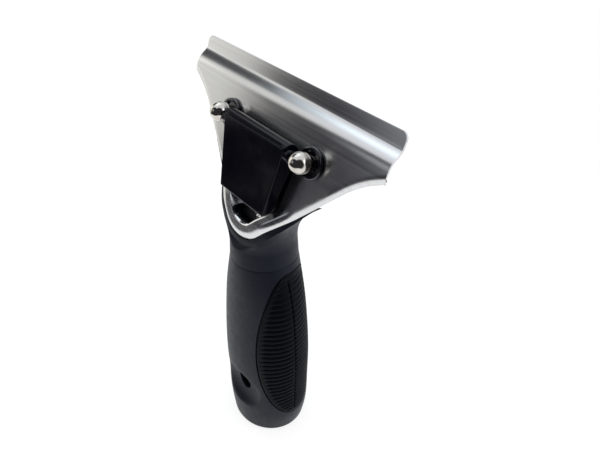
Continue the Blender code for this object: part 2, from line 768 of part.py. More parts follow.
def release_lever(axis):
    rings = []
    for share in LEVER_ACROSS_SHARES:
        section = lever_section(share)
        rings.append([(share * lever_half_width(v), v, n) for v, n in section])
    mesh = stack_rings("release_lever", rings)
    lever = add_object("release_lever", mesh, black_plastic("lever_plastic"), axis)
    barrel_half = STUD_U - STUD_HEAD_RADIUS - BARREL_END_GAP
    turn = (0, math.pi / 2, 0)
    barrel = round_hole("lever_barrel", BARREL_RADIUS, 2 * barrel_half, (0, 0, 0), axis, turn)
    combine(lever, barrel, "UNION")
    tail = LEVER_TAIL_V - STUD_V + LEVER_WALL + LEVER_TAIL_BEVEL
    root = -BARREL_RADIUS - LEVER_WALL
    floor = -AXLE_N - OVERRUN
    roof_drop = LEVER_WALL + LEVER_FACE_HOLLOW
    hollow = [
        (tail, floor),
        (tail, lever_face(tail) - roof_drop),
        (root, lever_face(root) - roof_drop),
        (root, floor),
    ]
    shape = bar_profile("lever_hollow", hollow, lambda v: lever_half_width(v) - LEVER_WALL)
    combine(lever, cutter("lever_hollow", shape, axis))
    bore = AXLE_RADIUS + GAP
    length = 2 * (barrel_half + OVERRUN)
    combine(lever, round_hole("lever_bore", bore, length, (0, 0, 0), axis, turn))


# Core, rivets and rubber

def tongue_mesh(name, grow):
    """The tongue as cross-sections up the plate, set back at its root under the plate's nose."""
    front = -SHEET_THICKNESS - GAP + grow
    back = -SHEET_THICKNESS - GAP - TONGUE_THICKNESS - grow
    neck, top = TONGUE_NECK_WIDTH / 2 + grow, TONGUE_TOP_WIDTH / 2 + grow
    sections = (
        (TONGUE_ROOT_V - 2 * grow, neck, front - TONGUE_ROOT_FALL),
        (TONGUE_ROOT_TOP_V - grow, neck, front - TONGUE_ROOT_FALL),
        (TONGUE_FACE_V - grow, neck, front),
        (TONGUE_SHOULDER_V, neck, front),
        (TONGUE_SHOULDER_V + TONGUE_SHOULDER_HEIGHT, top, front),
        (TONGUE_TOP_V + grow, top, front),
    )
    rings = [
        [(-half, v, back), (half, v, back), (half, v, face), (-half, v, face)]
        for v, half, face in sections
    ]
    return stack_rings(name, rings)


def core_profile(grow):
    """The core's outer line from the base up, as (radius, height) points."""
    return [
        (CORE_RADIUS + grow, 0),
        (CORE_RADIUS + grow, CORE_SHOULDER_Z),
        (CORE_NECK_RADIUS + grow, CORE_NECK_Z),
        (CORE_NECK_RADIUS + grow, CORE_TOP_Z + grow),
        (0, CORE_TOP_Z + grow),
    ]


def button_hole(name, radius):
    """A round cutter from inside the socket out through the front of the grip."""
    depth = GRIP_HALF_DEPTH + OVERRUN
    spot = (0, -depth / 2, BUTTON_HOLE_Z)
    return round_hole(name, radius, depth, spot, None, (math.pi / 2, 0, 0))


def handle_core(head):
    socket = [(0, SOCKET_DEPTH), (SOCKET_FLOOR_RADIUS, SOCKET_DEPTH), (SOCKET_MOUTH_RADIUS, 0)]
    mesh = turned("handle_core", socket + core_profile(0), ROUND_SEGMENTS)
    core = add_object("handle_core", mesh, black_plastic("core_plastic"))
    combine(core, cutter("core_tongue", tongue_mesh("core_tongue", 0), head), "UNION")
    combine(core, button_hole("core_button_hole", BUTTON_HOLE_RADIUS))
    for side in (-1, 1):
        spot = (side * RIVET_U, RIVET_V, 0)
        radius = RIVET_SHANK_RADIUS + GAP
        length = 2 * (SHEET_THICKNESS + TONGUE_THICKNESS + OVERRUN)
        combine(core, round_hole(f"tongue_rivet_hole_{side}", radius, length, spot, head))


def neck_rivet(head, side, name):
    back = -SHEET_THICKNESS - TONGUE_THICKNESS - 3 * GAP - WASHER_THICKNESS
    edge = RIVET_HEAD_HEIGHT / 3
    profile = [
        (0, back - RIVET_HEAD_HEIGHT),
        (RIVET_HEAD_RADIUS - edge, back - RIVET_HEAD_HEIGHT),
        (RIVET_HEAD_RADIUS, back - edge),
        (RIVET_HEAD_RADIUS, back),
        (RIVET_SHANK_RADIUS, back),
        (RIVET_SHANK_RADIUS, GAP),
        (RIVET_HEAD_RADIUS, GAP),
        (RIVET_HEAD_RADIUS, GAP + edge),
        (RIVET_HEAD_RADIUS - edge, GAP + RIVET_HEAD_HEIGHT),
        (0, GAP + RIVET_HEAD_HEIGHT),
    ]
    made = add_object(name, turned(name, profile, SMALL_SEGMENTS), steel(f"{name}_steel"), head)
    made.location = (side * RIVET_U, RIVET_V, 0)


def rivet_washer(head, side, name):
    top = -SHEET_THICKNESS - TONGUE_THICKNESS - 2 * GAP
    place = (side * RIVET_U, RIVET_V, 0)
    washer(head, name, RIVET_SHANK_RADIUS + GAP, place, top)


def grip_half_sizes(z):
    """Half width and half depth of the grip's section at a height."""
    place = z / SLEEVE_TOP_Z
    width = GRIP_HALF_WIDTH * spline(GRIP_HEIGHT_SHARES, GRIP_WIDTH_SHARES, place)
    depth = GRIP_HALF_DEPTH * spline(GRIP_HEIGHT_SHARES, GRIP_DEPTH_SHARES, place)
    return width, depth


def grip_point(z, turn, sink=0.0):
    """A point of the grip's surface: turn runs from the front round by the right side."""
    width, depth = grip_half_sizes(z)
    return Vector(((width - sink) * math.sin(turn), -(depth - sink) * math.cos(turn), z))


def grip_ring(z, sink=0.0):
    turns = [math.tau * i / GRIP_SEGMENTS for i in range(GRIP_SEGMENTS)]
    return [grip_point(z, turn, sink) for turn in turns]


def recess():
    """An egg-shaped cutter for the thumb recess, deeper towards its top."""
    shape = bmesh.new()
    bmesh.ops.create_uvsphere(shape, u_segments=ROUND_SEGMENTS, v_segments=14, radius=1)
    size = (RECESS_HALF_WIDTH, RECESS_HALF_DEPTH, RECESS_HALF_HEIGHT)
    bmesh.ops.scale(shape, vec=size, verts=shape.verts)
    mesh = bpy.data.meshes.new("thumb_recess")
    shape.to_mesh(mesh)
    shape.free()
    made = cutter("thumb_recess", mesh)
    made.location = (0, -GRIP_HALF_DEPTH - RECESS_STAND_OFF, RECESS_Z)
    made.rotation_euler = (RECESS_TILT, 0, 0)
    return made


def grip_sleeve():
    round_steps = 3
    rings = []
    for i in range(round_steps + 1):
        turn = math.pi / 2 * i / round_steps
        sink = BASE_ROUND * (1 - math.sin(turn))
        rings.append(grip_ring(BASE_ROUND * (1 - math.cos(turn)), sink))
    body_steps = 12
    for i in range(1, body_steps + 1):
        rings.append(grip_ring(blend(BASE_ROUND, SLEEVE_TOP_Z, i / body_steps)))
    for radius, z in reversed(core_profile(GAP)[:3]):
        turns = [math.tau * i / GRIP_SEGMENTS for i in range(GRIP_SEGMENTS)]
        ring = [(radius * math.sin(a), -radius * math.cos(a), z) for a in turns]
        if z == CORE_NECK_Z:
            rings.append([(x, y, SLEEVE_TOP_Z) for x, y, _ in ring])
        rings.append(ring)
    mesh = stack_rings("grip_sleeve", rings, closed=True)
    sleeve = add_object("grip_sleeve", mesh, rubber("grip_rubber"))
    for side in (-1, 1):
        name = f"panel_pocket_{side}"
        combine(sleeve, cutter(name, panel_mesh(name, side, grow=GAP)))
    combine(sleeve, recess())
    combine(sleeve, button_hole("sleeve_button_hole", BUTTON_HOLE_RADIUS))


def panel_rows(grow):
    """Heights of a panel's rows: two to each rib, or fewer on the cutter for its pocket."""
    half = PANEL_HALF_HEIGHT + grow
    if grow:
        count = ROUND_SEGMENTS
        turns = [math.pi * (i / count - 1 / 2) for i in range(count + 1)]
        return [PANEL_CENTRE_Z + half * math.sin(turn) for turn in turns]
    near_tip = half * math.cos(math.pi / ROUND_SEGMENTS)
    step = PANEL_RIB_PITCH / 2
    count = int(half / step - 1 / 2)
    inner = [step * i for i in range(-count, count + 1)]
    return [PANEL_CENTRE_Z + rise for rise in (-half, -near_tip, *inner, near_tip, half)]


def panel_reach(z, back, grow):
    """How far round the grip the panel reaches from its middle line: more above at the back."""
    share = (z - PANEL_CENTRE_Z) / (PANEL_HALF_HEIGHT + grow)
    power = PANEL_BACK_POWER if back and share > 0 else 2
    widest = PANEL_BACK_ANGLE if back else PANEL_FRONT_ANGLE
    return (widest + grow / GRIP_HALF_DEPTH) * max(0, 1 - abs(share) ** power) ** (1 / power)


def panel_sink(z, across_share, row):
    """How deep the ribbed surface lies: grooves between the ribs, and none in the border."""
    reach = panel_reach(z, across_share > 0, 0)
    margin = reach * (1 - abs(across_share)) * GRIP_HALF_DEPTH
    ends = PANEL_HALF_HEIGHT - abs(z - PANEL_CENTRE_Z)
    inside = smooth((min(margin, ends) - PANEL_BORDER / 2) / PANEL_BORDER)
    groove = PANEL_RIB_DEPTH if row % 2 else 0
    parting = PANEL_PARTING_DEPTH if across_share == 0 else 0
    return inside * max(groove, parting)


def panel_mesh(name, side, grow=0.0):
    """A patch of the grip's surface with a back; grow makes the cutter for its pocket."""
    points, faces, rows = [], [], []
    heights = panel_rows(grow)
    for row, z in enumerate(heights):
        ends = row in (0, len(heights) - 1)
        strips = []
        for columns, inner in ((PANEL_COLUMNS, False), (PANEL_BACK_COLUMNS, True)):
            strip = []
            for k in range(1 if ends else columns + 1):
                share = 0 if ends else 2 * k / columns - 1
                sink = PANEL_DEPTH + 2 * grow
                if not inner:
                    sink = -OVERRUN if grow else panel_sink(z, share, row)
                turn = side * (math.pi / 2 + share * panel_reach(z, share > 0, grow))
                strip.append(len(points))
                points.append(grip_point(z, turn, sink))
            strips.append(strip)
        rows.append(strips)
    for low, high in zip(rows, rows[1:]):
        for which in (0, 1):
            below, above = low[which], high[which]
            for k in range(max(len(below), len(above)) - 1):
                quad = [
                    below[min(k, len(below) - 1)],
                    below[min(k + 1, len(below) - 1)],
                    above[min(k + 1, len(above) - 1)],
                    above[min(k, len(above) - 1)],
                ]
                faces.append(list(dict.fromkeys(quad)))
        for end in (0, -1):
            faces.append([low[0][end], high[0][end], high[1][end], low[1][end]])
    return mesh_from(name, points, faces)


def grip_panel(side, name):
    add_object(name, panel_mesh(name, side), rubber(f"{name}_rubber"))


# Neck collar

def neck_ring_point(turn, z, width, depth):
    return Vector((width * math.sin(turn), -depth * math.cos(turn), z))


def collar_places():
    """Shares of the way round half the collar: along the plate's edge, then across the back."""
    front_steps, back_steps = 12, 6
    front = [(i / front_steps, True) for i in range(front_steps + 1)]
    return front + [(i / back_steps, False) for i in range(1, back_steps + 1)]


def edge_point_at(v):
    """The point of the plate's edge at a height, with its heading."""
    edge = plate_edge()
    for low, high in zip(edge, edge[1:]):
        if low[1] <= v <= high[1]:
            share = (v - low[1]) / (high[1] - low[1])
            return tuple(blend(a, b, share) for a, b in zip(low, high))
    return edge[-1]


def collar_rim(out, drop, back_inset):
    """Right half of a loop round the collar's top, a distance outside the plate's border."""
    border, fall = border_reach(BORDER_BEND_ANGLE)
    loop = []
    for share, front in collar_places():
        if front:
            edge = edge_point_at(blend(NOSE_V, COLLAR_TIP_V, share**COLLAR_EDGE_POWER))
            past = (edge[1] - COLLAR_NARROWING_V) / (COLLAR_TIP_V - COLLAR_NARROWING_V)
            width_share = blend(1, COLLAR_TIP_WIDTH_SHARE, smooth(past))
            u, v = moved_out(edge, border + GAP + out * width_share)
            loop.append(head_point(u, v, face_height(*edge[:2]) - fall - drop * width_share))
            tip = loop[-1]
            continue
        back = Vector((0, COLLAR_BACK_Y - back_inset, COLLAR_BACK_Z))
        turn = math.pi / 2 * share
        x = tip.x * math.cos(turn)
        y = blend(tip.y, back.y, math.sin(turn))
        loop.append(Vector((x, y, blend(back.z, tip.z, math.cos(turn) ** COLLAR_BACK_POWER))))
    return loop


def both_halves(loop):
    """A whole loop from its right half, which starts and ends in the middle plane."""
    left = [Vector((-point.x, point.y, point.z)) for point in reversed(loop[1:-1])]
    return loop + left


def collar_turns():
    """Where the collar's points lie round the neck, matched to the points of its rim."""
    turns = []
    for share, front in collar_places():
        start, end = (0, COLLAR_TIP_TURN) if front else (COLLAR_TIP_TURN, math.pi)
        turns.append(blend(start, end, share))
    return turns


def collar_mesh():
    """Rings from the seam through the neck up to the flared rim, then in over its bevelled lip."""
    turns = collar_turns()
    seam = [grip_point(SLEEVE_TOP_Z, turn) + Vector((0, 0, GAP)) for turn in turns]
    neck = [
        neck_ring_point(turn, COLLAR_NECK_Z, COLLAR_NECK_HALF_WIDTH, COLLAR_NECK_HALF_DEPTH)
        for turn in turns
    ]
    outer = collar_rim(COLLAR_LIP_WIDTH, COLLAR_LIP_BEVEL, 0)
    inner = collar_rim(-COLLAR_LIP_OVERLAP, 0, COLLAR_WALL)
    rings = [seam]
    for share in COLLAR_NECK_SHARES:
        rings.append([a.lerp(b, share) for a, b in zip(seam, neck)])
    flare_steps = 7
    for i in range(flare_steps):
        t = i / flare_steps
        ring = []
        for low, high in zip(neck, outer):
            rise = high.z - low.z
            first = low + Vector((0, 0, rise / 2))
            second = low.lerp(high, COLLAR_FLARE_SHARE)
            second.z = high.z - rise / 4
            ring.append(
                low * (1 - t) ** 3
                + first * (3 * t * (1 - t) ** 2)
                + second * (3 * t * t * (1 - t))
                + high * t**3
            )
        rings.append(ring)
    rings += [outer, inner]
    rings = [both_halves(ring) for ring in rings]
    floor = head_point(0, TONGUE_SHOULDER_V, -COLLAR_WALL - TONGUE_THICKNESS)
    rings.append([point.lerp(floor, COLLAR_FLOOR_SHARE) for point in rings[-1]])
    rings.append([floor])
    return stack_rings("neck_collar", rings)


def plate_seat(head):
    """The space that the front plate takes in the collar: all that lies in front of its back."""
    clearance = (SHEET_THICKNESS + GAP) / math.cos(BORDER_BEND_ANGLE)
    edge = plate_edge()
    rows = [(u, v) for u, v, _ in edge]

    def floor_height(u, v):
        return face_height(u, v) - clearance

    mesh = sheet_mesh("plate_seat", rows, FACE_COLUMNS, floor_height, edge, GAP)
    shape = bmesh.new()
    shape.from_mesh(mesh)
    grown = bmesh.ops.extrude_face_region(shape, geom=shape.faces[:])
    raised = [item for item in grown["geom"] if isinstance(item, bmesh.types.BMVert)]
    bmesh.ops.translate(shape, vec=(0, 0, JAW_WIDTH), verts=raised)
    bmesh.ops.recalc_face_normals(shape, faces=shape.faces)
    shape.to_mesh(mesh)
    shape.free()
    return cutter("plate_seat", mesh, head)


def neck_collar(head):
    collar = add_object("neck_collar", collar_mesh(), rubber("collar_rubber"))
    combine(collar, plate_seat(head))
    combine(collar, cutter("collar_tongue", tongue_mesh("collar_tongue", GAP), head))
    core = turned("collar_bore", [(0, 0)] + core_profile(GAP), ROUND_SEGMENTS)
    combine(collar, cutter("collar_bore", core))


def main():
    for old in list(bpy.data.objects):
        bpy.data.objects.remove(old)
    head = bpy.data.objects.new("head_frame", None)
    bpy.context.scene.collection.objects.link(head)
    head.matrix_world = head_matrix()
    axis = bpy.data.objects.new("lever_axis", None)
    bpy.context.scene.collection.objects.link(axis)
    axis.parent = head
    axis.location = (0, STUD_V, AXLE_N)

    front_jaw_plate(head)
    clamp_plate(head)
    for side, word in ((-1, "left"), (1, "right")):
        stud(head, side, f"stud_{word}")
        stud_bush(head, side, f"stud_bush_{word}")
        clamp_spring(head, side, f"clamp_spring_{word}")
        stud_washer(head, side, f"stud_washer_{word}")
    lever_axle(axis)
    release_lever(axis)
    handle_core(head)
    for side, word in ((-1, "left"), (1, "right")):
        neck_rivet(head, side, f"neck_rivet_{word}")
        rivet_washer(head, side, f"rivet_washer_{word}")
    grip_sleeve()
    for side, word in ((-1, "left"), (1, "right")):
        grip_panel(side, f"grip_panel_{word}")
    neck_collar(head)


main()
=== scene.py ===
"""Window squeegee handle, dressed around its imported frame.

Units are metres, in the handle's frame: +Z up along the handle, -Y towards the front, where
the release lever is, and X along the jaws. The head leans back, so its pieces are drawn in
its own directions, which HeadFrame turns into the handle's: u across the jaws, v up the
front plate, and n out of its front face, with n zero on that face.
"""
from __future__ import annotations

import logging
import math
from dataclasses import dataclass, field
from enum import Enum
from typing import Callable, Optional, Sequence

import bmesh
import bpy
from mathutils import Matrix, Vector

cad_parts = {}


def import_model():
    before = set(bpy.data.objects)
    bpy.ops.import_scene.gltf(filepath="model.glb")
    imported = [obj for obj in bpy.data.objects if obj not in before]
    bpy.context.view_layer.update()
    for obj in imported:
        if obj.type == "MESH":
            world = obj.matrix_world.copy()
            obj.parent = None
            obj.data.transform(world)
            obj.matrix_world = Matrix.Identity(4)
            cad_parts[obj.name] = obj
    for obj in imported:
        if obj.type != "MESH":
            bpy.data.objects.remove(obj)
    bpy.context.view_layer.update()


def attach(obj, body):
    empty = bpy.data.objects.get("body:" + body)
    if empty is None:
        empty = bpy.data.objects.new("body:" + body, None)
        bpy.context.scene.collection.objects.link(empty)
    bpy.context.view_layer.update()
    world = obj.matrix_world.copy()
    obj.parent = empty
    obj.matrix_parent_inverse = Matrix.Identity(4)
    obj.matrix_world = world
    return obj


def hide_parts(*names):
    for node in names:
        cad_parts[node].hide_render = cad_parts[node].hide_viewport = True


LOG = logging.getLogger("squeegee")

Point2 = tuple[float, float]
Point3 = tuple[float, float, float]
Color = tuple[float, float, float]

GAP = 0.0003
OVERRUN = 0.004
CREASE_ANGLE = math.radians(32)
EDGE_ANGLE = math.radians(40)
PLATE_EDGE = 0.00014
FINE_ROUND = 96
ROUND = 48
SMALL_ROUND = 36
NOISE_MIDDLE = (0.3, 0.7)


class Side(Enum):
    """The two halves of the object, as seen from the front."""

    LEFT = -1
    RIGHT = 1

    @property
    def word(self) -> str:
        """The side's word in a node's name."""
        return self.name.lower()


class Body(Enum):
    """The rigid bodies that the pieces ride on."""

    HANDLE = "handle"
    CLAMP = "clamp"
    LEVER = "lever"


class Axis(Enum):
    """A direction round which brushing or turning marks run."""

    X = "X"
    Z = "Z"


class Step(Enum):
    """What a tool does to the solid that it is worked into."""

    CUT = "DIFFERENCE"
    JOIN = "UNION"


# Numbers


def smooth(share: float) -> float:
    """An S-shaped step from 0 to 1, flat at both ends."""
    share = min(1.0, max(0.0, share))
    return share * share * (3 - 2 * share)


def blend(start: float, end: float, share: float) -> float:
    """The value that lies a share of the way from start to end."""
    return start + (end - start) * share


def soft_max(first: float, second: float, rounding: float) -> float:
    """The larger of two values, with the corner between them rounded off."""
    return (first + second + math.hypot(first - second, rounding)) / 2


def spline(places: Sequence[float], values: Sequence[float], place: float) -> float:
    """Reads a smooth curve through given values.

    Args:
        places: where the values are given, rising.
        values: one value for each place.
        place: where the curve is read.

    Returns:
        The curve's value there.
    """
    last = len(places) - 2
    i = min(max([0] + [k for k in range(last + 1) if places[k] <= place]), last)
    before, after = max(i - 1, 0), min(i + 2, last + 1)
    span = places[i + 1] - places[i]
    t = (place - places[i]) / span
    start = (values[i + 1] - values[before]) / (places[i + 1] - places[before]) * span
    end = (values[after] - values[i]) / (places[after] - places[i]) * span
    return (
        (2 * t**3 - 3 * t**2 + 1) * values[i]
        + (t**3 - 2 * t**2 + t) * start
        + (3 * t**2 - 2 * t**3) * values[i + 1]
        + (t**3 - t**2) * end
    )


def rounded(outline: Sequence[Point2], radii: Sequence[float], steps: int = 4) -> list[Point2]:
    """Rounds the corners of a closed outline.

    Args:
        outline: its corners, in order.
        radii: how far the rounding reaches along the sides of each corner; 0 keeps it sharp.
        steps: short sides to each rounded corner.

    Returns:
        The outline with its corners rounded.
    """
    made: list[Point2] = []
    for i, (corner, radius) in enumerate(zip(outline, radii)):
        if not radius:
            made.append(corner)
            continue
        here = Vector(corner)
        before = here - (here - Vector(outline[i - 1])).normalized() * radius
        after = here + (Vector(outline[(i + 1) % len(outline)]) - here).normalized() * radius
        for k in range(steps + 1):
            t = k / steps
            spot = before * (1 - t) ** 2 + here * (2 * t * (1 - t)) + after * t**2
            made.append((spot.x, spot.y))
    return made


# Meshes


def make_object(
    name: str, points: Sequence[Sequence[float]], faces: Sequence[Sequence[int]]
) -> bpy.types.Object:
    """Makes an object from points and faces, with its faces turned outwards.

    Args:
        name: the object's name.
        points: the corners.
        faces: the corners of each face, by number.

    Returns:
        The new object, linked to the scene.
    """
    mesh = bpy.data.meshes.new(name)
    mesh.from_pydata([tuple(point) for point in points], [], [list(face) for face in faces])
    shape = bmesh.new()
    shape.from_mesh(mesh)
    bmesh.ops.recalc_face_normals(shape, faces=shape.faces)
    shape.to_mesh(mesh)
    shape.free()
    made = bpy.data.objects.new(name, mesh)
    bpy.context.scene.collection.objects.link(made)
    return made


def from_rings(
    name: str, rings: Sequence[Sequence[Sequence[float]]], closed: bool = False
) -> bpy.types.Object:
    """Bridges rings of equal length one to the next; a ring of one point closes an end.

    Args:
        name: the object's name.
        rings: the rings, in order.
        closed: whether the last ring joins the first, as in a tube's wall.

    Returns:
        The solid between the rings.
    """
    points: list[Sequence[float]] = []
    starts: list[int] = []
    faces: list[list[int]] = []
    for ring in rings:
        starts.append(len(points))
        points.extend(ring)
    for k in range(len(rings) if closed else len(rings) - 1):
        low, high = k, (k + 1) % len(rings)
        count = max(len(rings[low]), len(rings[high]))
        for i in range(count):
            j = (i + 1) % count
            corners = [
                starts[ring] + place % len(rings[ring])
                for ring, place in ((low, i), (low, j), (high, j), (high, i))
            ]
            faces.append(list(dict.fromkeys(corners)))
    if not closed:
        for end in (0, len(rings) - 1):
            if len(rings[end]) > 2:
                faces.append([starts[end] + i for i in range(len(rings[end]))])
    return make_object(name, points, faces)


def lathe(name: str, profile: Sequence[Point2], segments: int, closed: bool = False) -> bpy.types.Object:
    """Turns a profile about its own Z.

    Args:
        name: the object's name.
        profile: (radius, height) points.
        segments: facets round the piece.
        closed: whether the profile is a closed loop, as for a ring.

    Returns:
        The turned solid.
    """
    rings: list[list[Point3]] = []
    for radius, height in profile:
        if radius == 0:
            rings.append([(0.0, 0.0, height)])
            continue
        turns = (math.tau * i / segments for i in range(segments))
        rings.append([(radius * math.cos(a), radius * math.sin(a), height) for a in turns])
    return from_rings(name, rings, closed)


def prism(name: str, outline: Sequence[Point2], low: float, high: float) -> bpy.types.Object:
    """A flat outline in u and v, extruded along n from low to high."""
    return from_rings(name, [[(u, v, n) for u, v in outline] for n in (low, high)])


def oval(half_width: float, half_height: float, centre_v: float, segments: int) -> list[Point2]:
    """An upright ellipse in u and v."""
    turns = [math.tau * i / segments for i in range(segments)]
    return [(half_width * math.cos(a), centre_v + half_height * math.sin(a)) for a in turns]


@dataclass
class Workpiece:
    """A solid that tools cut into or are joined to, until it is baked into one mesh."""

    solid: bpy.types.Object
    tools: list[bpy.types.Object] = field(default_factory=list)

    def combine(self, tool: bpy.types.Object, kind: Step) -> Workpiece:
        """Adds one Boolean step with a tool and returns the workpiece."""
        step = self.solid.modifiers.new(tool.name, "BOOLEAN")
        step.operation = kind.value
        step.solver = "EXACT"
        step.object = tool
        self.tools.append(tool)
        return self

    def cut(self, tool: bpy.types.Object) -> Workpiece:
        """Takes the tool's shape out of the solid."""
        return self.combine(tool, Step.CUT)

    def join(self, tool: bpy.types.Object) -> Workpiece:
        """Adds the tool's shape to the solid."""
        return self.combine(tool, Step.JOIN)

    def thicken(self, thickness: float) -> Workpiece:
        """Gives an open sheet its thickness, behind the surface that was drawn."""
        step = self.solid.modifiers.new("thickness", "SOLIDIFY")
        step.thickness = thickness
        step.offset = -1
        step.use_even_offset = True
        return self

    def break_edges(self, width: float, segments: int = 2) -> Workpiece:
        """Takes the sharpness off the solid's edges."""
        step = self.solid.modifiers.new("broken_edges", "BEVEL")
        step.width = width
        step.segments = segments
        step.limit_method = "ANGLE"
        step.angle_limit = EDGE_ANGLE
        return self

    def bake(self, matrix: Optional[Matrix] = None) -> bpy.types.Object:
        """Works the steps into the mesh and removes the tools.

        Args:
            matrix: where the finished mesh goes; none keeps it in place.

        Returns:
            The finished object, which sits at the origin.
        """
        bpy.context.view_layer.update()
        graph = bpy.context.evaluated_depsgraph_get()
        mesh = bpy.data.meshes.new_from_object(self.solid.evaluated_get(graph))
        self.solid.modifiers.clear()
        self.solid.data = mesh
        for tool in self.tools:
            bpy.data.objects.remove(tool)
        self.tools.clear()
        if matrix:
            mesh.transform(matrix)
        mesh.shade_smooth()
        mesh.set_sharp_from_angle(angle=CREASE_ANGLE)
        flats = self.solid.modifiers.new("flats_kept_flat", "WEIGHTED_NORMAL")
        flats.keep_sharp = True
        return self.solid


# Finishes


class Board:
    """A material's node tree, with short calls that add nodes and feed their sockets."""

    def __init__(self, name: str) -> None:
        """Starts a material with its one Principled shader."""
        self.material = bpy.data.materials.new(name)
        self.material.use_nodes = True
        self.tree = self.material.node_tree
        self.shader = self.tree.nodes["Principled BSDF"]

    def feed(self, socket: bpy.types.NodeSocket, value: object) -> None:
        """Links a socket to the value if that is a socket too, and otherwise sets it."""
        if isinstance(value, bpy.types.NodeSocket):
            self.tree.links.new(value, socket)
        else:
            socket.default_value = value

    def add(self, kind: str, inputs: dict, **settings: object) -> bpy.types.Node:
        """Adds a node.

        Args:
            kind: the node's type.
            inputs: what each input, by name or number, is set or linked to.
            settings: the node's own settings.

        Returns:
            The new node.
        """
        node = self.tree.nodes.new(kind)
        for key, value in settings.items():
            setattr(node, key, value)
        for key, value in inputs.items():
            self.feed(node.inputs[key], value)
        return node

    def noise(self, scale: float, detail: float, stretch: Point3 = (1.0, 1.0, 1.0)) -> bpy.types.NodeSocket:
        """Noise in the handle's frame, from 0 to 1, drawn out along the axes of small stretch."""
        place = self.add("ShaderNodeTexCoord", {}).outputs["Object"]
        spot = self.add("ShaderNodeMapping", {"Vector": place, "Scale": stretch}).outputs[0]
        node = self.add("ShaderNodeTexNoise", {"Vector": spot, "Scale": scale, "Detail": detail})
        return node.outputs[0]

    def spread(self, factor: bpy.types.NodeSocket, low: float, high: float) -> bpy.types.NodeSocket:
        """Spreads the middle of a noise over the range from low to high."""
        limits = {0: factor, 1: NOISE_MIDDLE[0], 2: NOISE_MIDDLE[1], 3: low, 4: high}
        return self.add("ShaderNodeMapRange", limits).outputs[0]

    def mix(self, factor: object, first: Color, second: Color) -> bpy.types.NodeSocket:
        """Blends two colours."""
        inputs = {0: factor, 6: (*first, 1.0), 7: (*second, 1.0)}
        return self.add("ShaderNodeMix", inputs, data_type="RGBA").outputs[2]

    def bump(self, height: bpy.types.NodeSocket, distance: float, strength: float = 1.0) -> None:
        """Roughens the surface by a height; a later call adds to an earlier one."""
        inputs = {"Height": height, "Distance": distance, "Strength": strength}
        earlier = self.shader.inputs["Normal"].links
        if earlier:
            inputs["Normal"] = earlier[0].from_socket
        self.feed(self.shader.inputs["Normal"], self.add("ShaderNodeBump", inputs).outputs[0])

    def set(self, **values: object) -> None:
        """Feeds the shader's own sockets, with spaces in their names written as underscores."""
        for key, value in values.items():
            self.feed(self.shader.inputs[key.replace("_", " ")], value)


@dataclass(frozen=True)
class BrushedSteel:
    """Steel with fine brush marks that run along the jaws."""

    name: str
    light: Color = (0.73, 0.735, 0.745)
    dark: Color = (0.65, 0.65, 0.655)
    roughness: tuple[float, float] = (0.18, 0.215)
    stretch: Point3 = (12.0, 1700.0, 1700.0)
    bump: float = 0.0000018
    anisotropy: float = 0.7
    round_axis: Axis = Axis.X
    smudge_scale: float = 60.0
    smudge_stretch: Point3 = (0.5, 1.0, 1.0)
    smudge_roughness: tuple[float, float] = (-0.02, 0.03)

    def build(self) -> bpy.types.Material:
        """Makes the material."""
        board = Board(self.name)
        marks = board.noise(1.0, 3.0, self.stretch)
        smudge = board.noise(self.smudge_scale, 3.0, self.smudge_stretch)
        tangent = board.add("ShaderNodeTangent", {}, direction_type="RADIAL", axis=self.round_axis.value)
        board.set(
            Base_Color=board.mix(board.spread(marks, 0.0, 1.0), self.dark, self.light),
            Metallic=1.0,
            Roughness=board.add(
                "ShaderNodeMath",
                {
                    0: board.spread(marks, *self.roughness),
                    1: board.spread(smudge, *self.smudge_roughness),
                },
                operation="ADD",
            ).outputs[0],
            Anisotropic=self.anisotropy,
            Tangent=tangent.outputs[0],
        )
        board.bump(marks, self.bump)
        return board.material


@dataclass(frozen=True)
class PolishedNickel:
    """Bright turned metal with faint smears."""

    name: str
    color: Color = (0.66, 0.635, 0.59)
    tarnish: Color = (0.55, 0.52, 0.475)
    roughness: tuple[float, float] = (0.08, 0.14)
    smear_scale: float = 420.0
    pit_scale: float = 2600.0
    pits: float = 0.0000015

    def build(self) -> bpy.types.Material:
        """Makes the material."""
        board = Board(self.name)
        smear = board.noise(self.smear_scale, 4.0)
        board.set(
            Base_Color=board.mix(board.spread(smear, 0.0, 1.0), self.color, self.tarnish),
            Metallic=1.0,
            Roughness=board.spread(smear, *self.roughness),
        )
        board.bump(board.noise(self.pit_scale, 2.0), self.pits)
        return board.material


@dataclass(frozen=True)
class MouldedPlastic:
    """Black plastic with a very fine moulded grain."""

    name: str
    color: Color = (0.0012, 0.0015, 0.0042)
    worn: Color = (0.0022, 0.0025, 0.0060)
    roughness: tuple[float, float] = (0.13, 0.19)
    specular: float = 0.2
    patch_scale: float = 170.0
    gloss_scale: float = 260.0
    grain_scale: float = 5200.0
    grain: float = 0.0000025

    def build(self) -> bpy.types.Material:
        """Makes the material."""
        board = Board(self.name)
        patches = board.noise(self.patch_scale, 4.0)
        board.set(
            Base_Color=board.mix(board.spread(patches, 0.0, 1.0), self.color, self.worn),
            Roughness=board.spread(board.noise(self.gloss_scale, 3.0), *self.roughness),
            Specular_IOR_Level=self.specular,
        )
        board.bump(board.noise(self.grain_scale, 2.0), self.grain)
        return board.material


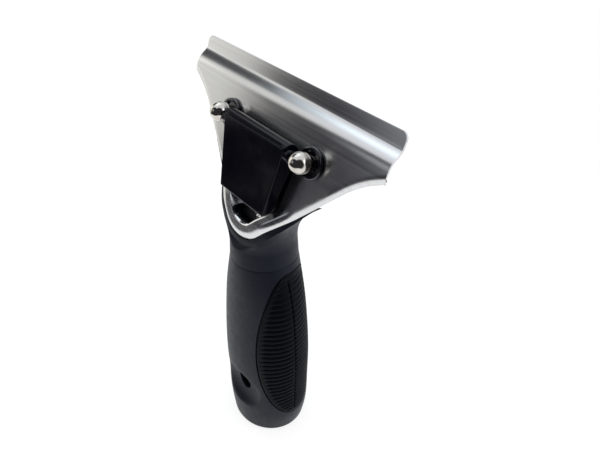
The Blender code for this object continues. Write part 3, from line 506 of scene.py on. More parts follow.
@dataclass(frozen=True)
class GripRubber:
    """Charcoal rubber with a fine matt grain and a dusty sheen at its edges."""

    name: str
    color: Color = (0.0062, 0.0070, 0.0128)
    dusty: Color = (0.0088, 0.0098, 0.0168)
    roughness: tuple[float, float] = (0.42, 0.52)
    specular: float = 0.2
    specular_tint: Color = (0.72, 0.84, 1.0)
    sheen: float = 0.03
    sheen_roughness: float = 0.4
    sheen_tint: Color = (0.60, 0.66, 0.80)
    dust_scale: float = 95.0
    gloss_scale: float = 520.0
    grain_scale: float = 2400.0
    grain: float = 0.000012

    def build(self) -> bpy.types.Material:
        """Makes the material."""
        board = Board(self.name)
        dust = board.noise(self.dust_scale, 5.0)
        board.set(
            Base_Color=board.mix(board.spread(dust, 0.0, 1.0), self.color, self.dusty),
            Roughness=board.spread(board.noise(self.gloss_scale, 4.0), *self.roughness),
            Specular_IOR_Level=self.specular,
            Specular_Tint=(*self.specular_tint, 1.0),
            Sheen_Weight=self.sheen,
            Sheen_Roughness=self.sheen_roughness,
            Sheen_Tint=(*self.sheen_tint, 1.0),
        )
        board.bump(board.noise(self.grain_scale, 3.0), self.grain)
        return board.material


def fit_out(
    piece: bpy.types.Object, material: bpy.types.Material, slot: str, body: Body, *nodes: str
) -> None:
    """Dresses a finished piece and ties it to the frame.

    Args:
        piece: the finished object.
        material: its finish.
        slot: the record's material slot; not used.
        body: the body it rides on.
        nodes: the CAD nodes it stands for.
    """
    piece.data.materials.clear()
    piece.data.materials.append(material)
    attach(piece, body.value)
    if nodes:
        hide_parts(*nodes)
    LOG.info("%s: %d faces on %s", piece.name, len(piece.data.polygons), body.value)


# The head


@dataclass(frozen=True)
class HeadFrame:
    """Where the head sits on the handle, and how far it leans back."""

    tilt: float = math.radians(20.1)
    setback: float = 0.0098
    height: float = 0.110

    def matrix(self) -> Matrix:
        """The head's own directions in the handle's frame."""
        spot = Matrix.Translation((0, -self.setback, self.height))
        return spot @ Matrix.Rotation(math.pi / 2 - self.tilt, 4, "X")

    def point(self, u: float, v: float, n: float) -> Vector:
        """A point of the head, given in the handle's frame."""
        return self.matrix() @ Vector((u, v, n))

    def at(self, u: float, v: float, n: float) -> Matrix:
        """The head's directions, moved to a point of it."""
        return self.matrix() @ Matrix.Translation((u, v, n))


@dataclass
class JawPlate:
    """The pressed front plate: stepped lip, bevelled border, and a nose that rises round a scoop."""

    head: HeadFrame
    thickness: float = 0.0009
    width: float = 0.108
    nose_v: float = 0.002
    nose_radius: float = 0.0106
    flare_run: float = 0.0162
    flare_v: float = 0.037
    flare_arc_share: float = 0.78
    flare_angle: float = math.radians(27.5)
    step_v: float = 0.048
    step_height: float = 0.0085
    step_depth: float = 0.003
    step_power: float = 1.7
    lip_height: float = 0.0047
    lip_corner: float = 0.0025
    bend_radius: float = 0.0037
    bend_angle: float = math.radians(52)
    rise: float = 0.003
    rise_v: float = 0.008
    rise_length: float = 0.012
    scoop_margin: float = 0.0022
    scoop_slope: float = 0.003
    slot_v: float = 0.0082
    slot_width: float = 0.0126
    slot_height: float = 0.0058
    stud_u: float = 0.024
    stud_v: float = 0.0389
    bush_hole: float = 0.0047
    rivet_u: float = 0.0055
    rivet_v: float = 0.0255
    rivet_hole: float = 0.0019
    columns: int = 88
    fineness: int = 3
    slot_segments: int = 72

    def __post_init__(self) -> None:
        """Works out the sloping sides from the nose's round and the flare's start."""
        self.centre_v = self.nose_v + self.nose_radius
        self.flare_u = self.width / 2 - self.flare_run
        reach = math.hypot(self.flare_u, self.flare_v - self.centre_v)
        slope = math.atan2(self.flare_v - self.centre_v, self.flare_u)
        self.side_angle = slope + math.asin(self.nose_radius / reach)
        turn = math.sin(self.side_angle) - math.sin(self.flare_angle)
        self.flare_radius = self.flare_arc_share * self.flare_run / turn

    def edge(self, fineness: int = 1) -> list[Point3]:
        """Right half of the face's edge from the nose up, as (u, v, heading) points.

        Args:
            fineness: how many times finer than the plainest outline.

        Returns:
            The points, from the middle of the nose to the jaw's end.
        """
        made: list[Point3] = []
        arc_steps, side_steps, flare_steps, run_steps = (n * fineness for n in (6, 12, 4, 2))
        for i in range(arc_steps + 1):
            heading = self.side_angle * i / arc_steps
            u = self.nose_radius * math.sin(heading)
            made.append((u, self.centre_v - self.nose_radius * math.cos(heading), heading))
        start_u, start_v, _ = made[-1]
        for i in range(1, side_steps):
            t = i / side_steps
            made.append((blend(start_u, self.flare_u, t), blend(start_v, self.flare_v, t), self.side_angle))
        for i in range(flare_steps + 1):
            heading = blend(self.side_angle, self.flare_angle, i / flare_steps)
            u = self.flare_u + self.flare_radius * (math.sin(self.side_angle) - math.sin(heading))
            v = self.flare_v + self.flare_radius * (math.cos(heading) - math.cos(self.side_angle))
            made.append((u, v, heading))
        last_u, last_v, _ = made[-1]
        for i in range(1, run_steps + 1):
            u = blend(last_u, self.width / 2, i / run_steps)
            made.append((u, last_v + (u - last_u) * math.tan(self.flare_angle), self.flare_angle))
        return made

    def edge_at(self, v: float) -> Point3:
        """The edge's point at a height, with its heading."""
        edge = self.edge(self.fineness)
        for low, high in zip(edge, edge[1:]):
            if low[1] <= v <= high[1]:
                share = (v - low[1]) / (high[1] - low[1])
                return tuple(blend(a, b, share) for a, b in zip(low, high))
        return edge[-1]

    @staticmethod
    def moved_out(point: Point3, distance: float) -> Point2:
        """An edge point moved square to the edge, away from the plate."""
        u, v, heading = point
        return u + distance * math.sin(heading), v - distance * math.cos(heading)

    def border_reach(self, turn: float) -> Point2:
        """How far the border has gone outwards, and back, when it has bent through an angle."""
        return self.bend_radius * math.sin(turn), self.bend_radius * (1 - math.cos(turn))

    def trimmed(self, u: float, v: float) -> Point2:
        """A point of the border, cut off square at the jaw's ends."""
        excess = max(0.0, abs(u) - self.width / 2)
        return math.copysign(abs(u) - excess, u), v - excess * math.tan(self.flare_angle)

    def inside(self, u: float, v: float) -> float:
        """How far a point of the face lies inside the sloping edges."""
        across, down = abs(u), self.centre_v - v
        if math.atan2(across, down) < self.side_angle:
            return self.nose_radius - math.hypot(across, down)
        slant = across * math.sin(self.side_angle) + down * math.cos(self.side_angle)
        return self.nose_radius - slant

    def height(self, u: float, v: float) -> float:
        """Height of the face: set back at the lip, and brought forward round the nose."""
        climb = max(0.0, v - self.step_v) / self.step_height
        lip = self.step_depth * smooth(climb**self.step_power)
        rise = self.rise * smooth((self.rise_v + self.rise_length - v) / self.rise_length)
        scoop = smooth((self.inside(u, v) - self.scoop_margin) / self.scoop_slope)
        return rise * (1 - scoop) - lip

    def top_rows(self, half: float, low: float, high: float, lip: float) -> list[Point2]:
        """Rows of a step from low to high, and of a lip with rounded corners, as (half width, v)."""
        step_rows, lip_rows, corner_rows = 28, 3, 7
        rows = [(half, blend(low, high, i / step_rows)) for i in range(step_rows + 1)]
        top = high + lip
        straight = lip - self.lip_corner
        rows += [(half, high + straight * i / lip_rows) for i in range(1, lip_rows)]
        for i in range(corner_rows + 1):
            turn = math.pi / 2 * i / corner_rows
            inset = self.lip_corner * (1 - math.cos(turn))
            rows.append((half - inset, top - self.lip_corner * (1 - math.sin(turn))))
        return rows

    def sheet(
        self,
        name: str,
        rows: Sequence[Point2],
        columns: int,
        height: Callable[[float, float], float],
        border: Sequence[Point3] = (),
        overhang: float = 0.0,
    ) -> bpy.types.Object:
        """The front surface of a pressed sheet, with a border bent back along its edge.

        Args:
            name: the object's name.
            rows: the sheet's (half width, v) rows, from the bottom up.
            columns: faces across each row.
            height: the surface's height at a point.
            border: the edge that the border follows; none leaves it out.
            overhang: how far one more strip goes on past the border.

        Returns:
            The open surface, in the head's directions.
        """
        points: list[Point3] = []
        faces: list[list[int]] = []
        starts: list[int] = []
        for half, v in rows:
            starts.append(len(points))
            for k in range(columns + 1 if half else 1):
                u = half * (2 * k / columns - 1)
                points.append((u, v, height(u, v)))
        for i in range(len(rows) - 1):
            for k in range(columns):
                low = [starts[i] + (c if rows[i][0] else 0) for c in (k, k + 1)]
                corners = [*low, starts[i + 1] + k + 1, starts[i + 1] + k]
                faces.append(list(dict.fromkeys(corners)))
        if border:
            rim = [starts[i] for i in reversed(range(1, len(border)))] + [starts[0]]
            rim += [starts[i] + columns for i in range(1, len(border))]
            whole = [(-u, v, -heading) for u, v, heading in reversed(border[1:])] + list(border)
            steps = 8
            reaches = [self.border_reach(self.bend_angle * k / steps) for k in range(1, steps + 1)]
            if overhang:
                reaches.append((reaches[-1][0] + overhang, reaches[-1][1]))
            inner = rim
            for out, down in reaches:
                outer = []
                for point, corner in zip(whole, rim):
                    outer.append(len(points))
                    spot = self.trimmed(*self.moved_out(point, out))
                    points.append((*spot, points[corner][2] - down))
                for i in range(len(whole) - 1):
                    faces.append([inner[i + 1], inner[i], outer[i], outer[i + 1]])
                inner = outer
        mesh = bpy.data.meshes.new(name)
        mesh.from_pydata(points, [], faces)
        made = bpy.data.objects.new(name, mesh)
        bpy.context.scene.collection.objects.link(made)
        return made

    def hole(self, name: str, radius: float, u: float, v: float) -> bpy.types.Object:
        """A round cutter through the plate."""
        return prism(name, [(u + a, b) for a, b in oval(radius, radius, v, ROUND)], -OVERRUN, 2 * OVERRUN)

    def build(self, finish: BrushedSteel) -> None:
        """Makes the plate, with its holes and its neck slot."""
        edge = self.edge(self.fineness)
        rows = [(u, v) for u, v, _ in edge]
        step_top = self.step_v + self.step_height
        rows += self.top_rows(self.width / 2, edge[-1][1], step_top, self.lip_height)[1:]
        plate = Workpiece(self.sheet("jaw_plate", rows, self.columns, self.height, edge))
        plate.thicken(self.thickness)
        slot = oval(self.slot_width / 2, self.slot_height / 2, self.slot_v, self.slot_segments)
        plate.cut(prism("neck_slot", slot, -2 * OVERRUN, 2 * OVERRUN))
        holes = (
            ("bush_hole", self.bush_hole, self.stud_u, self.stud_v),
            ("rivet_hole", self.rivet_hole, self.rivet_u, self.rivet_v),
        )
        for side in Side:
            for name, radius, u, v in holes:
                plate.cut(self.hole(f"{name}_{side.word}", radius, side.value * u, v))
        plate.break_edges(PLATE_EDGE)
        made = plate.bake(self.head.matrix())
        fit_out(made, finish.build(), "brushed_steel", Body.HANDLE, "front_jaw_plate")


@dataclass
class ClampPlate:
    """The plate behind the jaw, which slides on the studs."""

    jaw: JawPlate
    pocket: float = 0.0076
    opening: float = 0.0032
    inset: float = 0.0095
    bottom_v: float = 0.031
    step_v: float = 0.0492
    step_height: float = 0.004
    lip_height: float = 0.004
    hem_height: float = 0.0014
    hem_depth: float = 0.0012
    stud_hole: float = 0.002
    columns: int = 48

    @property
    def floor(self) -> float:
        """Height of the plate's inner face away from its lip."""
        return -self.jaw.thickness - self.pocket

    def height(self, _: float, v: float) -> float:
        """Height of the inner face, which steps towards the front plate's lip."""
        lip = -self.jaw.step_depth - self.jaw.thickness - self.opening
        hem = self.hem_depth * smooth((self.bottom_v - v) / self.hem_height)
        return blend(self.floor, lip, smooth((v - self.step_v) / self.step_height)) + hem

    def build(self, finish: BrushedSteel) -> None:
        """Makes the plate, with the holes for the studs."""
        hem_steps, side_steps = 5, 20
        low = self.jaw.edge_at(self.bottom_v)[0] - self.inset
        drops = [self.hem_height * (1 - i / hem_steps) for i in range(hem_steps)]
        rows = [(low, self.bottom_v - drop) for drop in drops]
        for i in range(side_steps):
            v = blend(self.bottom_v, self.step_v, i / side_steps)
            rows.append((self.jaw.edge_at(v)[0] - self.inset, v))
        half = self.jaw.width / 2 - self.inset
        rows += self.jaw.top_rows(half, self.step_v, self.step_v + self.step_height, self.lip_height)
        plate = Workpiece(self.jaw.sheet("slide_plate", rows, self.columns, self.height))
        plate.thicken(self.jaw.thickness)
        for side in Side:
            outline = oval(self.stud_hole, self.stud_hole, self.jaw.stud_v, SMALL_ROUND)
            spots = [(u + side.value * self.jaw.stud_u, v) for u, v in outline]
            name = f"slide_hole_{side.word}"
            plate.cut(prism(name, spots, self.floor - OVERRUN, self.floor + OVERRUN))
        plate.break_edges(PLATE_EDGE)
        made = plate.bake(self.jaw.head.matrix())
        fit_out(made, finish.build(), "clamp_steel", Body.CLAMP, "clamp_plate")


@dataclass
class StudSet:
    """The studs with their bushes, springs and washers, and the axle between them."""

    jaw: JawPlate
    clamp: ClampPlate
    neck_radius: float = 0.0026
    tail_radius: float = 0.0017
    tail_head_radius: float = 0.0034
    tail_head_height: float = 0.001
    head_radius: float = 0.0039
    head_base: float = 0.0033
    head_shoulder: float = 0.0004
    collar_radius: float = 0.0036
    collar_length: float = 0.0014
    ball_radius: float = 0.00375
    ball_centre: float = 0.0056
    groove_depth: float = 0.00035
    groove_width: float = 0.0004
    groove_shares: Sequence[Point2] = ((0, 1.0), (1 / 3, 0.8), (1, 0.6), (1, 0.2))
    tail_edge: float = 0.0003
    bush_flange: float = 0.0055
    bush_flange_height: float = 0.0012
    bush_shank: float = 0.0044
    bush_barb: float = 0.005
    bush_barb_height: float = 0.0012
    coil_radius: float = 0.0031
    wire_radius: float = 0.00045
    turns: float = 3.5
    washer_radius: float = 0.0042
    washer_thickness: float = 0.0008
    axle_radius: float = 0.0013
    axle_n: float = 0.0054
    axle_cover: float = 0.0012
    spring_steps: int = 126
    wire_sides: int = 10
    segments: int = 72

    def stud_profile(self) -> list[Point2]:
        """The stud from its riveted tail to its domed head, as (radius, n) points."""
        floor = self.clamp.floor
        washer_back = floor - self.jaw.thickness - 2 * GAP - self.washer_thickness
        tail = washer_back - GAP
        profile = [
            (0.0, tail - self.tail_head_height),
            (self.tail_radius, tail - self.tail_head_height),
            (self.tail_head_radius - self.tail_edge, tail - self.tail_head_height / 2),
            (self.tail_head_radius, tail - self.tail_edge),
            (self.tail_head_radius, tail),
            (self.tail_radius, tail),
            (self.tail_radius, floor + GAP),
            (self.neck_radius, floor + GAP),
            (self.neck_radius, self.head_base),
        ]
        corner_steps = 6
        for i in range(corner_steps + 1):
            turn = math.pi / 2 * i / corner_steps
            radius = self.collar_radius - self.head_shoulder * (1 - math.sin(turn))
            profile.append((radius, self.head_base + self.head_shoulder * (1 - math.cos(turn))))
        waist = self.head_base + self.collar_length
        for deep, below in self.groove_shares:
            radius = self.collar_radius - self.groove_depth * deep
            profile.append((radius, waist - self.groove_width * below))
        ball_steps = 28
        start = math.asin((waist - self.ball_centre) / self.ball_radius)
        for i in range(ball_steps + 1):
            turn = blend(start, math.pi / 2, i / ball_steps)
            radius = self.ball_radius * math.cos(turn) if i < ball_steps else 0.0
            profile.append((radius, self.ball_centre + self.ball_radius * math.sin(turn)))
        return profile

    def bush_profile(self) -> list[Point2]:
        """The bush's section, as a closed loop of (radius, n) points."""
        bore = self.neck_radius + GAP
        back = -self.jaw.thickness - GAP
        edge = self.bush_flange_height / 3
        top = GAP + self.bush_flange_height
        dish = self.bush_flange_height
        return [
            (bore, back - self.bush_barb_height),
            (self.bush_shank, back - self.bush_barb_height),
            (self.bush_barb, back - self.bush_barb_height / 3),
            (self.bush_barb, back),
            (self.bush_shank, back),
            (self.bush_shank, GAP),
            (self.bush_flange, GAP),
            (self.bush_flange, top - edge),
            (self.bush_flange - edge * 0.3, top - edge * 0.3),
            (self.bush_flange - edge, top),
            (self.bush_flange - 2.4 * edge, top),
            (self.bush_flange - 4 * edge, top - dish),
            (bore + edge, top - dish),
            (bore, top - dish),
        ]

    def washer_profile(self, bore: float, top: float) -> list[Point2]:
        """A flat washer's section, with its corners just broken."""
        low, edge = top - self.washer_thickness, self.washer_thickness / 6
        outer = self.washer_radius
        return [
            (bore, low),
            (outer - edge, low),
            (outer, low + edge),
            (outer, top - edge),
            (outer - edge, top),
            (bore, top),
        ]

    def turned_piece(
        self, name: str, profile: Sequence[Point2], u: float, v: float, closed: bool = False
    ) -> Workpiece:
        """A turned piece about the line through a point of the head."""
        made = lathe(name, profile, self.segments, closed)
        made.data.transform(Matrix.Translation((u, v, 0)))
        return Workpiece(made)

    def spring(self, side: Side) -> bpy.types.Object:
        """The spring between the plates, as a swept round wire."""
        low = self.clamp.floor + GAP + self.wire_radius
        high = -self.jaw.thickness - 2 * GAP - self.bush_barb_height - self.wire_radius
        count, sides = self.spring_steps, self.wire_sides
        rings: list[list[Vector]] = []
        for i in range(count + 1):
            turn = math.tau * self.turns * i / count
            out = Vector((math.cos(turn), math.sin(turn), 0))
            centre = out * self.coil_radius + Vector((0, 0, blend(low, high, i / count)))
            ring = []
            for k in range(sides):
                a = math.tau * k / sides
                ring.append(centre + (out * math.cos(a) + Vector((0, 0, math.sin(a)))) * self.wire_radius)
            rings.append(ring)
        made = from_rings(f"coil_spring_{side.word}", rings)
        made.data.transform(Matrix.Translation((side.value * self.jaw.stud_u, self.jaw.stud_v, 0)))
        return Workpiece(made).bake(self.jaw.head.matrix())

    def build(self, nickel: PolishedNickel, plastic: MouldedPlastic, steel: BrushedSteel) -> None:
        """Makes both sets and the axle."""
        place = self.jaw.head.matrix()
        nickel_made, plastic_made, steel_made = nickel.build(), plastic.build(), steel.build()
        half_axle = self.jaw.stud_u + self.head_radius - self.axle_cover - GAP
        bore = self.axle_radius + GAP
        for side in Side:
            spot, word = side.value * self.jaw.stud_u, side.word
            stud = self.turned_piece(f"ball_stud_{word}", self.stud_profile(), spot, self.jaw.stud_v)
            start = self.jaw.stud_u - self.head_radius - OVERRUN
            hole = lathe(
                f"axle_hole_{word}",
                ((0, start), (bore, start), (bore, half_axle + GAP), (0, half_axle + GAP)),
                SMALL_ROUND,
            )
            hole.data.transform(Matrix.Rotation(side.value * math.pi / 2, 4, "Y"))
            hole.data.transform(Matrix.Translation((0, self.jaw.stud_v, self.axle_n)))
            fit_out(stud.cut(hole).bake(place), nickel_made, "stud_nickel", Body.CLAMP, f"stud_{word}")
            bush = self.turned_piece(
                f"flanged_bush_{word}", self.bush_profile(), spot, self.jaw.stud_v, closed=True
            )
            fit_out(bush.bake(place), plastic_made, "bush_plastic", Body.HANDLE, f"stud_bush_{word}")
            fit_out(self.spring(side), steel_made, "spring_steel", Body.CLAMP, f"clamp_spring_{word}")
            top = self.clamp.floor - self.jaw.thickness - GAP
            profile = self.washer_profile(self.tail_radius + GAP, top)
            ring = self.turned_piece(f"tail_washer_{word}", profile, spot, self.jaw.stud_v, closed=True)
            fit_out(ring.bake(place), steel_made, "washer_steel", Body.CLAMP, f"stud_washer_{word}")
        edge = self.axle_radius / 4
        profile = [
            (0.0, -half_axle),
            (self.axle_radius - edge, -half_axle),
            (self.axle_radius, edge - half_axle),
        ]
        profile += [(radius, -height) for radius, height in reversed(profile)]
        axle = lathe("cross_axle", profile, ROUND)
        axle.data.transform(Matrix.Rotation(math.pi / 2, 4, "Y"))
        made = Workpiece(axle).bake(self.jaw.head.at(0, self.jaw.stud_v, self.axle_n))
        fit_out(made, steel_made, "axle_steel", Body.CLAMP, "lever_axle")


@dataclass
class ReleaseLever:
    """The release lever: a hollow tapered plate with a ribbed top, a barrel and a cam."""

    studs: StudSet
    top_width: float = 0.0352
    tail_width: float = 0.027
    tail_v: float = 0.0136
    tail_n: float = 0.0053
    top_v: float = 0.0406
    top_n: float = 0.0081
    tail_bevel: float = 0.0016
    skirt_n: float = 0.0006
    tail_skirt_n: float = 0.0015
    wall: float = 0.0018
    hollow: float = 0.0007
    hollow_run_share: float = 0.35
    edge_round: float = 0.0004
    rib_depth: float = 0.0004
    rib_margin: float = 0.0009
    ribs: int = 2
    rib_run_share: float = 0.62
    barrel_radius: float = 0.0023
    barrel_edge: float = 0.0004
    tail_edge: float = 0.0006
    tail_corner: float = 0.0007
    top_corner: float = 0.0005
    foot_corner: float = 0.0004
    foot: float = 0.0015
    cam_fall: float = 0.0016
    cam_sweep: float = math.radians(100)

    def half_width(self, v: float) -> float:
        """Half width at a height above the axle, from the tail up to the barrel."""
        share = (v + self.studs.jaw.stud_v - self.tail_v) / (self.top_v - self.tail_v)
        return blend(self.tail_width, self.top_width, min(1.0, max(0.0, share))) / 2

    def face(self, v: float) -> float:
        """Height of the flat front, from the axle, at a height above the axle."""
        share = (v + self.studs.jaw.stud_v - self.tail_v) / (self.top_v - self.tail_v)
        return blend(self.tail_n, self.top_n, share) - self.studs.axle_n

    def cam(self, turn: float) -> float:
        """Reach of the cam at an angle from straight down, towards the lips."""
        return self.studs.axle_n - GAP - self.cam_fall * turn / self.cam_sweep

    def section(self, hollow_share: float, rib_share: float) -> list[Point2]:
        """The lever's outline in v and n, from its tail up the front and round the cam.

        Args:
            hollow_share: how much of the front's hollow this section has.
            rib_share: how much of the ribs' depth it has.

        Returns:
            The closed outline, with its corners rounded.
        """
        axle_v, axle_n = self.studs.jaw.stud_v, self.studs.axle_n
        tail, top = self.tail_v - axle_v, self.top_v - axle_v
        front: list[Point2] = []
        face_steps = 18
        for i in range(1, face_steps):
            t = i / face_steps
            v = blend(tail, top, t)
            hollow = self.hollow * hollow_share * smooth(min(t, 1 - t) / self.hollow_run_share)
            front.append((v, self.face(v) - hollow))
        reach_top = math.hypot(top, self.face(top))
        start = math.atan2(top, -self.face(top))
        ribbed: list[Point2] = []
        rib_steps, first_step = 40, 9
        for i in range(first_step, rib_steps):
            t = i / rib_steps
            turn = blend(start, self.cam_sweep, t)
            reach = blend(reach_top, self.cam(self.cam_sweep), t)
            wave = (1 - math.cos(math.tau * self.ribs * t / self.rib_run_share)) / 2
            reach -= self.rib_depth * rib_share * wave if t < self.rib_run_share else 0
            ribbed.append((reach * math.sin(turn), -reach * math.cos(turn)))
        cam: list[Point2] = []
        cam_steps = 20
        for i in range(cam_steps + 1):
            turn = self.cam_sweep * (1 - i / cam_steps)
            cam.append((self.cam(turn) * math.sin(turn), -self.cam(turn) * math.cos(turn)))
        corners = [
            ((tail + self.tail_bevel, self.tail_skirt_n - axle_n), self.tail_edge),
            ((tail, self.face(tail)), self.tail_corner),
            *((point, 0.0) for point in front),
            ((top, self.face(top)), self.top_corner),
            *((point, 0.0) for point in ribbed + cam),
            ((-self.foot, -self.cam(0)), 0.0),
            ((-self.foot - self.wall, self.skirt_n - axle_n), self.foot_corner),
        ]
        return rounded([corner for corner, _ in corners], [radius for _, radius in corners])

    def rings(self) -> list[list[Point3]]:
        """Sections across the lever, drawn in towards its two sides to round their edges."""
        edge_steps, flat_steps = 6, 48
        insets = [self.edge_round * (1 - math.cos(math.pi / 2 * i / edge_steps)) for i in range(edge_steps)]
        made: list[list[Point3]] = []
        half = self.top_width / 2
        ladder = [(-1 + inset / half, inset) for inset in insets]
        ladder += [
            (blend(-1 + self.edge_round / half, 1 - self.edge_round / half, i / flat_steps), self.edge_round)
            for i in range(flat_steps + 1)
        ]
        ladder += [(1 - inset / half, inset) for inset in reversed(insets)]
        for across, inset in ladder:
            rib_share = smooth((half * (1 - abs(across)) - self.rib_margin) / self.rib_margin)
            outline = self.section(1 - across * across, rib_share)
            slack = self.edge_round - inset
            drop = self.edge_round - math.sqrt(max(0.0, self.edge_round**2 - slack**2))
            ring: list[Point3] = []
            for i, (v, n) in enumerate(outline):
                before, after = Vector(outline[i - 1]), Vector(outline[(i + 1) % len(outline)])
                along = (after - before).normalized()
                moved_v, moved_n = v + along.y * drop, n - along.x * drop
                ring.append((across * self.half_width(v), moved_v, moved_n))
            made.append(ring)
        return made

    def build(self, finish: MouldedPlastic) -> None:
        """Makes the lever and hollows it out behind."""
        lever = Workpiece(from_rings("cam_lever", self.rings()))
        half = self.studs.jaw.stud_u - self.studs.head_radius - GAP
        barrel_profile = (
            (0.0, -half),
            (self.barrel_radius - self.barrel_edge, -half),
            (self.barrel_radius, self.barrel_edge - half),
            (self.barrel_radius, half - self.barrel_edge),
            (self.barrel_radius - self.barrel_edge, half),
            (0.0, half),
        )
        barrel = lathe("lever_barrel", barrel_profile, ROUND)
        bore_radius, reach = self.studs.axle_radius + GAP, half + OVERRUN
        bore_profile = ((0, -reach), (bore_radius, -reach), (bore_radius, reach), (0, reach))
        bore = lathe("lever_bore", bore_profile, SMALL_ROUND)
        for tool in (barrel, bore):
            tool.data.transform(Matrix.Rotation(math.pi / 2, 4, "Y"))
        tail = self.tail_v - self.studs.jaw.stud_v + self.wall + self.tail_bevel
        root = -self.barrel_radius - self.wall
        floor = -self.studs.axle_n - OVERRUN
        drop = self.wall + self.hollow
        outline = [
            (tail, floor),
            (tail, self.face(tail) - drop),
            (root, self.face(root) - drop),
            (root, floor),
        ]
        space = from_rings(
            "lever_hollow",
            [[(side * (self.half_width(v) - self.wall), v, n) for v, n in outline] for side in (-1, 1)],
        )
        lever.join(barrel).cut(space).cut(bore)
        place = self.studs.jaw.head.at(0, self.studs.jaw.stud_v, self.studs.axle_n)
        fit_out(lever.bake(place), finish.build(), "lever_plastic", Body.LEVER, "release_lever")


# The handle


@dataclass
class Core:
    """The plastic core: a tapered tube with a blind socket, and a tongue into the head."""

    jaw: JawPlate
    radius: float = 0.012
    neck_radius: float = 0.009
    shoulder_z: float = 0.066
    neck_z: float = 0.088
    top_z: float = 0.108
    socket_depth: float = 0.058
    mouth_radius: float = 0.010
    floor_radius: float = 0.009
    hole_z: float = 0.0257
    hole_radius: float = 0.0042
    hole_reach: float = 0.030
    hole_segments: int = 64
    edge: float = 0.0003
    tongue_thickness: float = 0.0044
    tongue_neck: float = 0.0136
    tongue_top: float = 0.019
    tongue_root_v: float = -0.0022
    tongue_fall: float = 0.0018
    tongue_root_top_v: float = 0.0005
    tongue_face_v: float = 0.0035
    shoulder_v: float = 0.0125
    shoulder_height: float = 0.0035
    tongue_top_v: float = 0.032
    rivet_shank: float = 0.0016
    rivet_head: float = 0.0031
    rivet_head_height: float = 0.001
    washer_thickness: float = 0.0008
    washer_radius: float = 0.0042

    def profile(self, grow: float) -> list[Point2]:
        """The outside from the base up, as (radius, z) points."""
        return [
            (self.radius + grow, 0.0),
            (self.radius + grow, self.shoulder_z),
            (self.neck_radius + grow, self.neck_z),
            (self.neck_radius + grow, self.top_z + grow),
            (0.0, self.top_z + grow),
        ]

    def tongue(self, name: str, grow: float) -> bpy.types.Object:
        """The tongue as cross-sections up the plate, in the handle's frame."""
        front = -self.jaw.thickness - GAP + grow
        back = -self.jaw.thickness - GAP - self.tongue_thickness - grow
        neck, top = self.tongue_neck / 2 + grow, self.tongue_top / 2 + grow
        sections = (
            (self.tongue_root_v - 2 * grow, neck, front - self.tongue_fall),
            (self.tongue_root_top_v - grow, neck, front - self.tongue_fall),
            (self.tongue_face_v - grow, neck, front),
            (self.shoulder_v, neck, front),
            (self.shoulder_v + self.shoulder_height, top, front),
            (self.tongue_top_v + grow, top, front),
        )
        rings = [
            [(-half, v, back), (half, v, back), (half, v, face), (-half, v, face)]
            for v, half, face in sections
        ]
        made = from_rings(name, rings)
        made.data.transform(self.jaw.head.matrix())
        return made

    def button_cutter(self, name: str) -> bpy.types.Object:
        """A round cutter from inside the socket out through the front of the grip."""
        profile = ((0, 0), (self.hole_radius, 0), (self.hole_radius, self.hole_reach), (0, self.hole_reach))
        made = lathe(name, profile, self.hole_segments)
        made.data.transform(Matrix.Rotation(math.pi / 2, 4, "X"))
        made.data.transform(Matrix.Translation((0, 0, self.hole_z)))
        return made

    def build(self, plastic: MouldedPlastic, steel: BrushedSteel) -> None:
        """Makes the core and the rivets that hold the plate on its tongue."""
        socket = [
            (0.0, self.socket_depth),
            (self.floor_radius, self.socket_depth),
            (self.mouth_radius, self.edge),
            (self.mouth_radius + self.edge, 0.0),
            (self.radius - self.edge, 0.0),
            (self.radius, self.edge),
        ]
        core = Workpiece(lathe("core_tube", socket + self.profile(0)[1:], FINE_ROUND))
        core.join(self.tongue("core_tongue", 0)).cut(self.button_cutter("core_hole"))
        matrix = self.jaw.head.matrix()
        steel_made = steel.build()
        back = -self.jaw.thickness - self.tongue_thickness - 2 * GAP
        for side in Side:
            spot = side.value * self.jaw.rivet_u
            cutter = self.jaw.hole(f"tongue_hole_{side.word}", self.rivet_shank + GAP, spot, self.jaw.rivet_v)
            cutter.data.transform(Matrix.Translation((0, 0, -OVERRUN)))
            cutter.data.transform(matrix)
            core.cut(cutter)
            place = self.jaw.head.at(spot, self.jaw.rivet_v, 0)
            rivet = lathe(f"plate_rivet_{side.word}", self.rivet_profile(back), ROUND)
            made = Workpiece(rivet).bake(place)
            fit_out(made, steel_made, "rivet_steel", Body.HANDLE, f"neck_rivet_{side.word}")
            low, high = back - self.washer_thickness, back
            bore, outer = self.rivet_shank + GAP, self.washer_radius
            section = ((bore, low), (outer, low), (outer, high), (bore, high))
            ring = lathe(f"plate_washer_{side.word}", section, ROUND, closed=True)
            made = Workpiece(ring).bake(place)
            fit_out(made, steel_made, "washer_steel", Body.HANDLE, f"rivet_washer_{side.word}")
        fit_out(core.bake(), plastic.build(), "core_plastic", Body.HANDLE, "handle_core")

    def rivet_profile(self, washer_top: float) -> list[Point2]:
        """A rivet with a low domed head at each end, as (radius, n) points."""
        back = washer_top - self.washer_thickness - GAP
        steps = 6
        low = [
            (
                self.rivet_head * math.sin(math.pi / 2 * i / steps),
                back - self.rivet_head_height * math.cos(math.pi / 2 * i / steps),
            )
            for i in range(steps + 1)
        ]
        high = [(radius, GAP - (height - back)) for radius, height in reversed(low)]
        return low + [(self.rivet_shank, back), (self.rivet_shank, GAP)] + high


